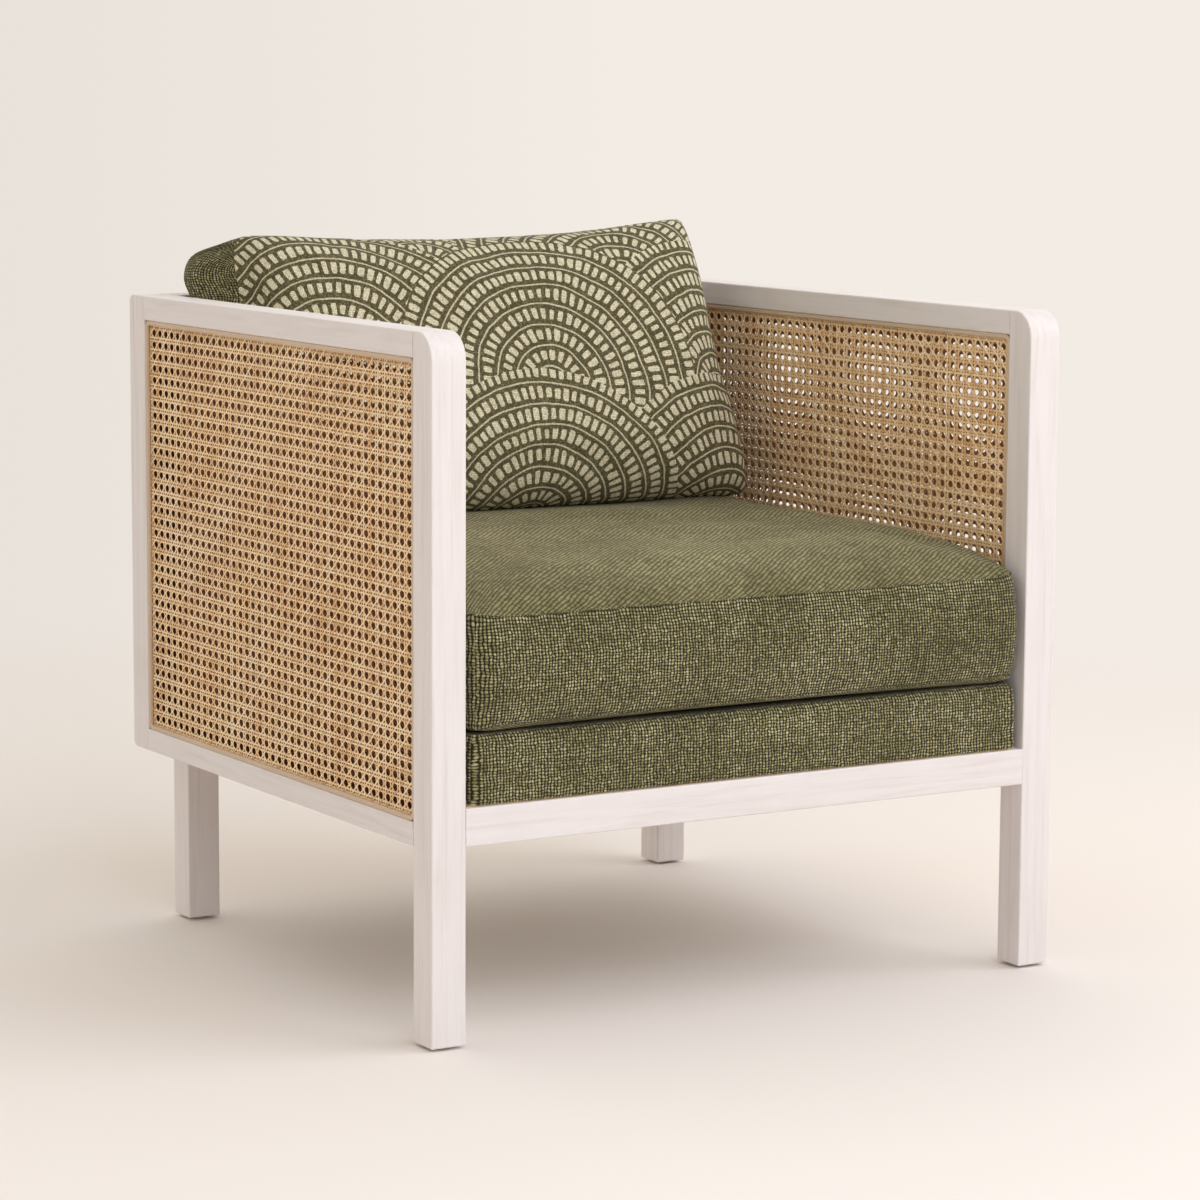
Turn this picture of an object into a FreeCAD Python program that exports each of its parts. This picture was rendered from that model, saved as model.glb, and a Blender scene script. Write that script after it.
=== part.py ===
import FreeCAD, Part
import math
import os
import re

import Sketcher
from FreeCAD import Placement, Rotation, Vector

# Cane lounge chair: a square-stock timber frame with cane webbing in its sides and back, an
# upholstered deck on the seat rails, a loose box seat cushion and a loose back pillow.
# Millimetres, +Z up, the front faces -Y, +X to the right as seen from in front of the chair.
# Left and right in the names are as seen from there too.
# The origin is on the floor, at the centre of the chair's width and depth.

SIZES = {
    # The whole chair
    "overall_width": 750,
    "overall_depth": 690,
    "arm_height": 700,
    # Timber frame
    "stock_side": 38,
    "arm_rail_height": 26,
    "lower_rail_height": 24,
    "lower_rail_underside": 198,
    "seat_rail_height": 38,
    "seat_rail_underside": 200,
    "post_top_radius": 28,
    "rear_corner_radius": 8,
    "arris_radius": 1.6,
    # Rear legs
    "rear_leg_side": 38,
    "rear_leg_side_inset": 47,
    "rear_leg_back_inset": 2,
    "leg_bolt_radius": 4,
    "leg_bolt_in_leg": 40,
    "leg_bolt_in_rail": 22,
    # Glides
    "glide_radius": 12,
    "glide_height": 3,
    "glide_nail_radius": 1.5,
    "glide_nail_length": 16,
    # Cane panels: a tongue along each opening carries a sheet on each side of it
    "tongue_width": 8,
    "cane_recess": 6,
    "cane_thickness": 2,
    "cane_edge_clearance": 0.3,
    "cane_rim_width": 14,
    "cane_bar_width": 19,
    "spline_width": 5,
    "spline_thickness": 3.2,
    "spline_corner_radius": 9,
    "spline_edge_radius": 1.4,
    # Dowels
    "dowel_radius": 3,
    "dowel_length": 36,
    "dowel_offset": 9.5,
    "hole_clearance": 0.15,
    "hole_end_clearance": 1,
    # Seat bearers and corner blocks
    "bearer_width": 22,
    "block_leg": 45,
    "block_setback": 3,
    # Screws
    "screw_radius": 2.2,
    "screw_head_radius": 4.5,
    "screw_head_height": 2.6,
    "bearer_screw_bite": 24,
    "deck_screw_bite": 25,
    # Upholstered deck
    "deck_height": 70,
    "deck_side_gap": 4,
    "deck_front_setback": 3,
    "deck_back_gap": 5,
    "deck_edge_radius": 10,
    "deck_member_width": 32,
    "deck_member_height": 46,
    "cover_thickness": 1.5,
    "strap_width": 50,
    "strap_thickness": 1.6,
    "strap_end_setback": 8,
    "dust_cover_thickness": 1,
    "dust_cover_gap": 2,
    # Seat cushion
    "cushion_rest_clearance": 0.4,
    "cushion_side_gap": 2.5,
    "cushion_front_setback": 0.5,
    "cushion_back_gap": 5,
    "cushion_corner_radius": 15,
    "boxing_height": 105,
    "boxing_bulge": 4,
    "cushion_crown": 38,
    "cushion_crown_reach": 112,
    "cushion_base_drop": 9,
    "cushion_base_reach": 24,
    "zip_height": 6,
    "zip_thickness": 1.2,
    "cushion_zip_length": 500,
    # Back pillow
    "pillow_side_gap": 47,
    "pillow_foot_setback": 180,
    "pillow_head_setback": 46,
    "pillow_head_rise": 64,
    "pillow_rest_clearance": 0.3,
    "pillow_back_clearance": 0.3,
    "pillow_edge_pull": 3,
    "pillow_front_crown": 62,
    "pillow_crown_reach": 118,
    "pillow_side_swell": 26,
    "pillow_back_reach": 42,
    "pillow_zip_length": 380,
    "pillow_zip_rise": 70,
}

# Places and sizes that follow from the ones above
PLACES = {
    "half_width": "overall_width / 2",
    "half_depth": "overall_depth / 2",
    "inner_side": "half_width - stock_side",
    "inner_depth": "half_depth - stock_side",
    "inner_width": "2 * inner_side",
    "inner_length": "2 * inner_depth",
    "opening_top": "arm_height - arm_rail_height",
    "side_opening_bottom": "lower_rail_underside + lower_rail_height",
    "side_opening_height": "opening_top - side_opening_bottom",
    "seat_rail_top": "seat_rail_underside + seat_rail_height",
    "back_opening_height": "opening_top - seat_rail_top",
    "rear_post_height": "arm_height - lower_rail_underside",
    "tongue_thickness": "stock_side - 2 * cane_recess",
    "leg_outer_side": "half_width - rear_leg_side_inset",
    "leg_middle_side": "leg_outer_side - rear_leg_side / 2",
    "leg_back": "half_depth - rear_leg_back_inset",
    "leg_middle_depth": "leg_back - rear_leg_side / 2",
    "post_middle_side": "half_width - stock_side / 2",
    "post_middle_depth": "half_depth - stock_side / 2",
    "bearer_inner_side": "inner_side - bearer_width",
    "block_height": "seat_rail_height - 2 * block_setback",
    "deck_half_width": "inner_side - deck_side_gap",
    "deck_front": "half_depth - deck_front_setback",
    "deck_back": "inner_depth - deck_back_gap",
    "deck_length": "deck_front + deck_back",
    "deck_top": "seat_rail_top + deck_height",
    "deck_core_half_width": "deck_half_width - cover_thickness",
    "deck_core_front": "deck_front - cover_thickness",
    "deck_core_back": "deck_back - cover_thickness",
    "deck_core_length": "deck_core_front + deck_core_back",
    "deck_core_radius": "deck_edge_radius - cover_thickness",
    "deck_member_top": "seat_rail_top + deck_member_height",
    "deck_side_member_length": "deck_core_length - 2 * deck_member_width",
    "deck_foam_bottom": "deck_member_top + 2 * strap_thickness",
    "deck_foam_top": "deck_top - cover_thickness",
    "deck_screw_side": "(bearer_inner_side + deck_core_half_width) / 2",
    "dust_cover_half_width": "bearer_inner_side - dust_cover_gap",
    "dust_cover_front": "inner_depth - dust_cover_gap",
    "cushion_bottom": "deck_top + cushion_rest_clearance",
    "cushion_half_width": "inner_side - cushion_side_gap - boxing_bulge",
    "cushion_front": "half_depth - cushion_front_setback - boxing_bulge",
    "cushion_back": "inner_depth - cushion_back_gap - boxing_bulge",
    "cushion_top": "cushion_bottom + cushion_base_drop + boxing_height + cushion_crown",
    "boxing_middle": "cushion_bottom + cushion_base_drop + boxing_height / 2",
    "pillow_half_width": "inner_side - pillow_side_gap",
    "pillow_back": "inner_depth - pillow_back_clearance",
    "pillow_foot": "cushion_top + pillow_rest_clearance",
    "pillow_head": "arm_height + pillow_head_rise",
}

# Where things stand along what carries them
ARM_DOWEL_SHARE = 0.72
BACK_TOP_DOWEL_SHARE = 0.28
LOWER_DOWEL_SHARE = 0.35
SEAT_RAIL_DOWEL_SHARE = 0.74
DECK_DOWEL_SHARES = (0.27, 0.73)
BEARER_SCREW_SHARES = (-0.6, 0.0, 0.6)
DECK_SCREW_SHARES = (-0.3, 0.3)
CANE_ACROSS_COUNT = 12
CANE_UP_COUNT = 9
LONG_STRAP_COUNT = 6
CROSS_STRAP_COUNT = 5

# How cushions swell: pairs of (share of the reach inward, share of the rise)
CROWN_SHARES = (
    (0, 0),
    (0.03, 0.16),
    (0.08, 0.36),
    (0.16, 0.58),
    (0.28, 0.79),
    (0.46, 0.92),
    (0.7, 0.98),
    (1, 1),
)
BASE_SHARES = ((0, 0), (0.12, 0.4), (0.34, 0.74), (0.64, 0.94), (1, 1))
BOXING_SHARES = ((0, 0), (0.15, 0.51), (0.32, 0.87), (0.5, 1), (0.68, 0.87), (0.85, 0.51), (1, 0))
PILLOW_FRONT_SHARES = (
    (0, 0),
    (0.03, 0.16),
    (0.09, 0.36),
    (0.2, 0.59),
    (0.38, 0.8),
    (0.65, 0.95),
    (1, 1),
)
# The share of the seam's pull that is lost where the pillow is flat
PULL_LOSS_SHARE = 0.8
# The pillow's back: (share of the way back, share of the side swell, share of the reach inward)
PILLOW_BACK_SHARES = (
    (0, 0, 0),
    (0.1, 0.5, 0.0),
    (0.25, 0.82, 0.0),
    (0.45, 1.0, 0.03),
    (0.65, 0.95, 0.12),
    (0.82, 0.72, 0.32),
    (0.94, 0.36, 0.64),
    (1, 0, 1),
)

SIDES = (("left", -1), ("right", 1))
PLACE_WORDS = re.compile(r"[a-z_]+")

doc = FreeCAD.newDocument("cane_lounge_chair")
subparts = []


def full(text):
    """Writes each size or place named in the text as a cell of its sheet."""

    def cell(word):
        name = word.group()
        if name in SIZES:
            return "<<sizes>>." + name
        return "<<places>>." + name if name in PLACES else name

    return PLACE_WORDS.sub(cell, text)


def make_sheet(name, cells):
    """A spreadsheet of names and values, each value under its name as alias."""
    sheet = doc.addObject("Spreadsheet::Sheet", name)
    for row, (alias, content) in enumerate(cells.items(), start=1):
        sheet.set(f"A{row}", alias)
        sheet.set(f"B{row}", content)
        sheet.setAlias(f"B{row}", alias)
    return sheet


sizes = make_sheet("sizes", {name: str(size) for name, size in SIZES.items()})
doc.recompute()
places = make_sheet("places", {})
for place_row, (place_name, place_text) in enumerate(PLACES.items(), start=1):
    places.set(f"A{place_row}", place_name)
    places.setAlias(f"B{place_row}", place_name)
    places.set(f"B{place_row}", "=" + full(place_text).replace("<<places>>.", ""))
doc.recompute()


def size(name):
    """The present value of a size or a place."""
    return float(sizes.get(name) if name in SIZES else places.get(name))


def bind(thing, **texts):
    """Binds properties to sheet cells. A double underscore in a name stands for a dot."""
    for name, text in texts.items():
        thing.setExpression(name.replace("__", "."), full(text))


def put(thing, x="0", y="0", z="0", turn=None):
    """Places a thing by expressions, turned first if a rotation is given."""
    if turn:
        thing.Placement = Placement(Vector(), turn)
    bind(thing, Placement__Base__x=x, Placement__Base__y=y, Placement__Base__z=z)
    return thing


def keep(thing, label):
    """Marks a finished sub-part, which is written under its label."""
    thing.Label = label
    subparts.append(thing)
    return thing


def add_form(label, shape, x="0", y="0", z="0", turn=None):
    """A sub-part whose shape comes from the sizes in code."""
    form = doc.addObject("Part::Feature", label)
    form.Shape = shape
    put(form, x, y, z, turn)
    return keep(form, label)


def new_body(name):
    return doc.addObject("PartDesign::Body", name)


def outline_sketch(body, corners, width, depth, x="0", y="0", z="0"):
    """A closed outline on the body's ground plane through unit corners that two sizes scale."""
    sketch = body.newObject("Sketcher::SketchObject", body.Name + "_outline")
    ground = next(plane for plane in body.Origin.OriginFeatures if plane.Role == "XY_Plane")
    sketch.AttachmentSupport = (ground, [""])
    sketch.MapMode = "FlatFace"
    points = [Vector(*corner, 0) for corner in corners]
    for start, end in zip(points, points[1:] + points[:1]):
        sketch.addGeometry(Part.LineSegment(start, end), False)
    count = len(points)
    rules = [Sketcher.Constraint("Coincident", i, 2, (i + 1) % count, 1) for i in range(count)]
    rules.append(Sketcher.Constraint("Coincident", 0, 1, -1, 1))
    rules.append(Sketcher.Constraint("Horizontal", 0))
    rules.append(Sketcher.Constraint("Vertical", count - 1))
    if count == 4:
        rules.append(Sketcher.Constraint("Vertical", 1))
        rules.append(Sketcher.Constraint("Horizontal", 2))
    sketch.addConstraint(rules)
    across = sketch.addConstraint(Sketcher.Constraint("DistanceX", 0, 1, 0, 2, 1))
    along = sketch.addConstraint(
        Sketcher.Constraint("DistanceY", count - 1, 2, count - 1, 1, 1)
    )
    sketch.renameConstraint(across, "width")
    sketch.renameConstraint(along, "depth")
    bind(sketch, Constraints__width=width, Constraints__depth=depth)
    bind(
        sketch,
        AttachmentOffset__Base__x=x,
        AttachmentOffset__Base__y=y,
        AttachmentOffset__Base__z=z,
    )
    return sketch


RECTANGLE = ((0, 0), (1, 0), (1, 1), (0, 1))
RIGHT_TRIANGLE = ((0, 0), (1, 0), (0, 1))


def add_block(body, width, depth, height, x="0", y="0", z="0", corners=RECTANGLE):
    """Pads a block whose low corner lies at x, y, z in the body."""
    sketch = outline_sketch(body, corners, width, depth, x, y, z)
    pad = body.newObject("PartDesign::Pad", body.Name + "_block")
    pad.Profile = sketch
    bind(pad, Length=height)
    doc.recompute()
    return body


def cut_window(body, width, depth, height, x, y):
    """Cuts a window of the given height up through the body from its ground plane."""
    before = body.Shape.Volume
    sketch = outline_sketch(body, RECTANGLE, width, depth, x, y)
    pocket = body.newObject("PartDesign::Pocket", body.Name + "_window")
    pocket.Profile = sketch
    pocket.Reversed = True
    bind(pocket, Length=height)
    doc.recompute()
    if body.Shape.Volume >= before:
        raise RuntimeError(body.Name + ": the window cuts nothing")
    return body


def faces_meet_sharply(shape, edge):
    """True where the two faces along an edge differ in direction."""
    faces = shape.ancestorsOfType(edge, Part.Face)
    if len(faces) != 2:
        return False
    middle = edge.valueAt((edge.FirstParameter + edge.LastParameter) / 2)
    normals = [face.normalAt(*face.Surface.parameter(middle)) for face in faces]
    return abs(normals[0].dot(normals[1])) < math.cos(math.radians(10))


def runs_along(edge, axis):
    """True for a straight edge that runs along the axis."""
    if not isinstance(edge.Curve, (Part.Line, Part.LineSegment)):
        return False
    return abs(edge.tangentAt(edge.FirstParameter).dot(axis)) > math.cos(math.radians(1))


def round_edges(body, radius, wanted):
    """Rounds the sharp edges of the body that wanted picks."""
    base = body.Tip
    shape = base.Shape
    names = [
        f"Edge{number}"
        for number, edge in enumerate(shape.Edges, start=1)
        if faces_meet_sharply(shape, edge) and wanted(edge)
    ]
    fillet = body.newObject("PartDesign::Fillet", body.Name + "_round")
    fillet.Base = (base, names)
    bind(fillet, Radius=radius)
    doc.recompute()
    if not fillet.isValid():
        raise RuntimeError(f"{body.Name}: {fillet.getStatusString()}")
    return body


X_AXIS, Y_AXIS, Z_AXIS = Vector(1, 0, 0), Vector(0, 1, 0), Vector(0, 0, 1)
TURN_TO = {"x": Rotation(Y_AXIS, 90), "y": Rotation(X_AXIS, -90), "z": Rotation()}


def rod(name, radius, length, axis, x, y, z):
    """A round rod along an axis that starts at x, y, z."""
    cylinder = doc.addObject("Part::Cylinder", name)
    bind(cylinder, Radius=radius, Height=length)
    return put(cylinder, x, y, z, TURN_TO[axis])


def group(name, members):
    """Separate solids that share one node."""
    compound = doc.addObject("Part::Compound", name)
    compound.Links = members
    return compound


def cut(name, base, tool):
    """The base with the tool taken out."""
    result = doc.addObject("Part::Cut", name)
    result.Base, result.Tool = base, tool
    return result


# Dowels and their holes. Each joint has two dowels side by side across the stock.
def dowel_set(name, spots):
    """Dowels centred on their spots, and the holes that hold them."""
    pins, holes = [], []
    for number, (axis, x, y, z) in enumerate(spots):
        start = {"x": x, "y": y, "z": z}
        hole_start = dict(start)
        start[axis] += " - dowel_length / 2"
        hole_start[axis] += " - dowel_length / 2 - hole_end_clearance"
        pins.append(rod(f"{name}_{number}", "dowel_radius", "dowel_length", axis, **start))
        holes.append(
            rod(
                f"{name}_hole_{number}",
                "dowel_radius + hole_clearance",
                "dowel_length + 2 * hole_end_clearance",
                axis,
                **hole_start,
            )
        )
    keep(group(name, pins), name + "s")
    return holes


def frame_dowel_spots():
    """The dowels of the side frames run front to back, those of the cross rails side to side."""
    arm_height = f"opening_top + {ARM_DOWEL_SHARE} * arm_rail_height"
    lower_height = f"lower_rail_underside + {LOWER_DOWEL_SHARE} * lower_rail_height"
    back_top_height = f"opening_top + {BACK_TOP_DOWEL_SHARE} * arm_rail_height"
    seat_rail_height = f"seat_rail_underside + {SEAT_RAIL_DOWEL_SHARE} * seat_rail_height"
    spots = []
    for _, side in SIDES:
        for way in (-1, 1):
            across = f"{side} * post_middle_side + {way} * dowel_offset"
            for height in (arm_height, lower_height):
                for end in (-1, 1):
                    spots.append(("y", across, f"{end} * inner_depth", height))
            back = f"post_middle_depth + {way} * dowel_offset"
            front = f"-post_middle_depth + {way} * dowel_offset"
            spots.append(("x", f"{side} * inner_side", back, back_top_height))
            spots.append(("x", f"{side} * inner_side", back, seat_rail_height))
            spots.append(("x", f"{side} * inner_side", front, seat_rail_height))
    return spots


def screw(name, axis, way, length, x, y, z):
    """A screw whose head lies against x, y, z and whose shank runs along the axis, one way."""
    seat = {"x": x, "y": y, "z": z}
    shank_start, head_start = dict(seat), dict(seat)
    if way < 0:
        shank_start[axis] += f" - ({length})"
    else:
        head_start[axis] += " - screw_head_height"
    shank = rod(name + "_shank", "screw_radius", length, axis, **shank_start)
    head = rod(name + "_head", "screw_head_radius", "screw_head_height", axis, **head_start)
    hole = rod(
        name + "_hole", "screw_radius + hole_clearance", length, axis, **shank_start
    )
    whole = doc.addObject("Part::MultiFuse", name)
    whole.Shapes = [shank, head]
    return whole, hole


def bearer_screws():
    """Screws through each seat bearer into the lower rail beside it."""
    made = []
    for label, side in SIDES:
        for number, share in enumerate(BEARER_SCREW_SHARES):
            made.append(
                screw(
                    f"{label}_bearer_screw_{number}",
                    "x",
                    side,
                    "bearer_width + bearer_screw_bite",
                    f"{side} * bearer_inner_side",
                    f"{share} * inner_depth",
                    "lower_rail_underside + lower_rail_height / 2",
                )
            )
    keep(group("bearer_screw", [whole for whole, _ in made]), "bearer_screws")
    return [hole for _, hole in made]


def deck_screws():
    """Screws up through each seat bearer into the deck's side member."""
    made = []
    for label, side in SIDES:
        for number, share in enumerate(DECK_SCREW_SHARES):
            made.append(
                screw(
                    f"{label}_deck_screw_{number}",
                    "z",
                    1,
                    "seat_rail_height + deck_screw_bite",
                    f"{side} * deck_screw_side",
                    f"{share} * inner_depth",
                    "seat_rail_underside",
                )
            )
    keep(group("deck_screw", [whole for whole, _ in made]), "deck_screws")
    return [hole for _, hole in made]


def leg_bolts():
    """Hanger bolts that hold the rear legs under the back lower rail."""
    length = "leg_bolt_in_leg + leg_bolt_in_rail"
    bolts, holes = [], []
    for label, side in SIDES:
        spot = (f"{side} * leg_middle_side", "leg_middle_depth")
        bottom = "seat_rail_underside - leg_bolt_in_leg"
        bolts.append(rod(f"{label}_leg_bolt", "leg_bolt_radius", length, "z", *spot, bottom))
        holes.append(
            rod(
                f"{label}_leg_bolt_hole",
                "leg_bolt_radius + hole_clearance",
                length + " + 2 * hole_end_clearance",
                "z",
                *spot,
                bottom + " - hole_end_clearance",
            )
        )
    keep(group("leg_bolt", bolts), "rear_leg_bolts")
    return holes


def leg_glides():
    """A disc under each leg, held by a nail."""
    feet = [(side, "post_middle_side", "-post_middle_depth") for _, side in SIDES]
    feet += [(side, "leg_middle_side", "leg_middle_depth") for _, side in SIDES]
    glides, holes = [], []
    for number, (side, across, along) in enumerate(feet):
        spot = (f"{side} * {across}", along)
        name = f"glide_{number}"
        disc = rod(name + "_disc", "glide_radius", "glide_height", "z", *spot, "0")
        nail = rod(
            name + "_nail",
            "glide_nail_radius",
            "glide_height + glide_nail_length",
            "z",
            *spot,
            "0",
        )
        whole = doc.addObject("Part::MultiFuse", name)
        whole.Shapes = [disc, nail]
        glides.append(whole)
        holes.append(
            rod(
                name + "_hole",
                "glide_nail_radius + hole_clearance",
                "glide_height + glide_nail_length + hole_end_clearance",
                "z",
                *spot,
                "0",
            )
        )
    keep(group("leg_glide", glides), "leg_glides")
    return holes


frame_holes = dowel_set("frame_dowel", frame_dowel_spots())
fixing_holes = bearer_screws() + deck_screws() + leg_bolts() + leg_glides()
all_holes = group("frame_and_fixing_holes", frame_holes + fixing_holes)


def bored(body, label):
    """A timber with the holes of its dowels, screws, bolts and nails."""
    return keep(cut(body.Name + "_bored", body, all_holes), label)


def front_post(label, low_x):
    """A full-height post that is also a front leg. Its top front corner is well rounded."""
    body = new_body(label + "_timber")
    add_block(body, "stock_side", "stock_side", "arm_height - glide_height")
    top = size("arm_height") - size("glide_height")
    slack = size("arris_radius")
    round_edges(
        body,
        "post_top_radius",
        lambda edge: runs_along(edge, X_AXIS)
        and edge.CenterOfMass.z > top - slack
        and edge.CenterOfMass.y < slack,
    )
    round_edges(body, "arris_radius", lambda edge: True)
    add_block(
        body,
        "tongue_thickness",
        "tongue_width",
        "side_opening_height",
        "cane_recess",
        "stock_side",
        "side_opening_bottom - glide_height",
    )
    put(body, low_x, "-half_depth", "glide_height")
    return bored(body, label)


def rear_post(label, low_x, back_tongue_x):
    """The back end of a side frame. One tongue carries the side cane, one the back cane."""
    body = new_body(label + "_timber")
    add_block(body, "stock_side", "stock_side", "rear_post_height")
    middle = size("stock_side") / 2
    round_edges(
        body,
        "rear_corner_radius",
        lambda edge: runs_along(edge, X_AXIS) and edge.CenterOfMass.y > middle,
    )
    round_edges(body, "arris_radius", lambda edge: True)
    add_block(
        body,
        "tongue_thickness",
        "tongue_width",
        "side_opening_height",
        "cane_recess",
        "-tongue_width",
        "side_opening_bottom - lower_rail_underside",
    )
    add_block(
        body,
        "tongue_width",
        "tongue_thickness",
        "back_opening_height",
        back_tongue_x,
        "cane_recess",
        "seat_rail_top - lower_rail_underside",
    )
    put(body, low_x, "inner_depth", "lower_rail_underside")
    return bored(body, label)


def side_rail(label, low_x, height, z, tongue_z):
    """A rail of a side frame, front to back between the posts."""
    body = new_body(label + "_timber")
    add_block(body, "stock_side", "inner_length", height)
    round_edges(body, "arris_radius", lambda edge: runs_along(edge, Y_AXIS))
    add_block(
        body,
        "tongue_thickness",
        "inner_length - 2 * tongue_width",
        "tongue_width",
        "cane_recess",
        "tongue_width",
        tongue_z,
    )
    put(body, low_x, "-inner_depth", z)
    return bored(body, label)


def cross_rail(label, low_y, height, z, tongue_z=None):
    """A rail from side to side between the posts. The two of the back have a tongue."""
    body = new_body(label + "_timber")
    add_block(body, "inner_width", "stock_side", height)
    round_edges(body, "arris_radius", lambda edge: runs_along(edge, X_AXIS))
    if tongue_z:
        add_block(
            body,
            "inner_width - 2 * tongue_width",
            "tongue_thickness",
            "tongue_width",
            "tongue_width",
            "cane_recess",
            tongue_z,
        )
    put(body, "-inner_side", low_y, z)
    return bored(body, label)


def rear_leg(label, low_x):
    """A short leg under the back lower rail."""
    body = new_body(label + "_timber")
    add_block(body, "rear_leg_side", "rear_leg_side", "seat_rail_underside - glide_height")
    top = size("seat_rail_underside") - size("glide_height")
    slack = size("arris_radius")
    round_edges(body, "arris_radius", lambda edge: edge.CenterOfMass.z < top - slack)
    put(body, low_x, "leg_back - rear_leg_side", "glide_height")
    return bored(body, label)


front_post("left_front_post", "-half_width")
front_post("right_front_post", "inner_side")
rear_post("left_rear_post", "-half_width", "stock_side")
rear_post("right_rear_post", "inner_side", "-tongue_width")
for side_label, side_low_x in (("left", "-half_width"), ("right", "inner_side")):
    side_rail(side_label + "_arm_rail", side_low_x, "arm_rail_height", "opening_top", "-tongue_width")
    side_rail(
        side_label + "_lower_rail",
        side_low_x,
        "lower_rail_height",
        "lower_rail_underside",
        "lower_rail_height",
    )
cross_rail("front_rail", "-half_depth", "seat_rail_height", "seat_rail_underside")
cross_rail("back_top_rail", "inner_depth", "arm_rail_height", "opening_top", "-tongue_width")
cross_rail(
    "back_lower_rail", "inner_depth", "seat_rail_height", "seat_rail_underside", "seat_rail_height"
)
rear_leg("left_rear_leg", "-leg_outer_side")
rear_leg("right_rear_leg", "leg_outer_side - rear_leg_side")


# Cane sheets and the reed splines round them. Each is drawn flat, face up, and turned to its
# panel: x across the opening, y up it, z out of the face.
FACING_LEFT = Rotation(-Y_AXIS, Z_AXIS, -X_AXIS)
FACING_RIGHT = Rotation(Y_AXIS, Z_AXIS, X_AXIS)
FACING_FRONT = Rotation(X_AXIS, Z_AXIS, -Y_AXIS)
FACING_BACK = Rotation(-X_AXIS, Z_AXIS, Y_AXIS)


def rectangle_wire(low_x, low_y, width, height):
    """A closed rectangle on the ground plane."""
    return Part.makePolygon(
        [
            Vector(low_x + across * width, low_y + up * height, 0)
            for across, up in (*RECTANGLE, RECTANGLE[0])
        ]
    )


def even_openings(length, count):
    """Where evenly spaced openings start along a sheet, and how wide each is."""
    margin = size("cane_edge_clearance") + size("cane_rim_width")
    bar = size("cane_bar_width")
    pitch = (length - 2 * margin + bar) / count
    return [margin + number * pitch for number in range(count)], pitch - bar


def cane_sheet(label, width, height, corner, turn):
    """A sheet of cane webbing that lies on the tongue, a little short of the timber. A plain
    grid of openings stands for the many small ones of its weave."""
    across, opening_width = even_openings(size(width), CANE_ACROSS_COUNT)
    up, opening_height = even_openings(size(height), CANE_UP_COUNT)
    short = size("cane_edge_clearance")
    outside = rectangle_wire(short, short, size(width) - 2 * short, size(height) - 2 * short)
    openings = [rectangle_wire(x, y, opening_width, opening_height) for x in across for y in up]
    face = Part.makeFace([outside, *openings], "Part::FaceMakerBullseye")
    return add_form(label, face.extrude(Z_AXIS * size("cane_thickness")), *corner, turn)


def reed_spline(label, width, height, corner, turn):
    """A half-round reed that runs round the opening on top of the cane."""
    body = new_body(label + "_reed")
    add_block(body, width, height, "spline_thickness", z="cane_thickness")
    round_edges(body, "spline_corner_radius", lambda edge: runs_along(edge, Z_AXIS))
    before = [edge.CenterOfMass for edge in body.Tip.Shape.Edges if runs_along(edge, Z_AXIS)]
    cut_window(
        body,
        f"{width} - 2 * spline_width",
        f"{height} - 2 * spline_width",
        "cane_thickness + spline_thickness",
        "spline_width",
        "spline_width",
    )
    reach = size("spline_width")
    round_edges(
        body,
        "spline_corner_radius - spline_width",
        lambda edge: runs_along(edge, Z_AXIS)
        and all((edge.CenterOfMass - old).Length > reach / 2 for old in before),
    )
    top = size("cane_thickness") + size("spline_thickness")
    round_edges(
        body,
        "spline_edge_radius",
        lambda edge: edge.CenterOfMass.z > top - size("spline_edge_radius"),
    )
    put(body, *corner, turn)
    return keep(body, label)


def cane_panel(label, width, height, corner, turn):
    cane_sheet(label + "_cane", width, height, corner, turn)
    reed_spline(label + "_spline", width, height, corner, turn)


SIDE_PANEL = ("inner_length", "side_opening_height")
BACK_PANEL = ("inner_width", "back_opening_height")
side_low, back_low = "side_opening_bottom", "seat_rail_top"
cane_panel(
    "left_outer", *SIDE_PANEL, ("-half_width + cane_recess", "inner_depth", side_low), FACING_LEFT
)
cane_panel(
    "left_inner", *SIDE_PANEL, ("-inner_side - cane_recess", "-inner_depth", side_low), FACING_RIGHT
)
cane_panel(
    "right_outer", *SIDE_PANEL, ("half_width - cane_recess", "-inner_depth", side_low), FACING_RIGHT
)
cane_panel(
    "right_inner", *SIDE_PANEL, ("inner_side + cane_recess", "inner_depth", side_low), FACING_LEFT
)
cane_panel(
    "back_outer", *BACK_PANEL, ("inner_side", "half_depth - cane_recess", back_low), FACING_BACK
)
cane_panel(
    "back_inner", *BACK_PANEL, ("-inner_side", "inner_depth + cane_recess", back_low), FACING_FRONT
)


# What carries the deck
def seat_bearer(label, low_x):
    """A bearer screwed to the inside of a lower rail, level with the front rail."""
    body = new_body(label + "_timber")
    add_block(body, "bearer_width", "inner_length", "seat_rail_height")
    put(body, low_x, "-inner_depth", "seat_rail_underside")
    return bored(body, label)


def corner_blocks():
    """Glued triangular blocks in the four corners of the seat frame."""
    blocks = []
    for quarter, (side, end) in enumerate(((-1, -1), (1, -1), (1, 1), (-1, 1))):
        body = new_body(f"corner_block_{quarter}")
        add_block(body, "block_leg", "block_leg", "block_height", corners=RIGHT_TRIANGLE)
        put(
            body,
            f"{side} * bearer_inner_side",
            f"{end} * inner_depth",
            "seat_rail_underside + block_setback",
            Rotation(Z_AXIS, 90 * quarter),
        )
        blocks.append(body)
    return keep(group("corner_block_group", blocks), "corner_blocks")


seat_bearer("left_seat_bearer", "-inner_side")
seat_bearer("right_seat_bearer", "bearer_inner_side")
corner_blocks()


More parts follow.
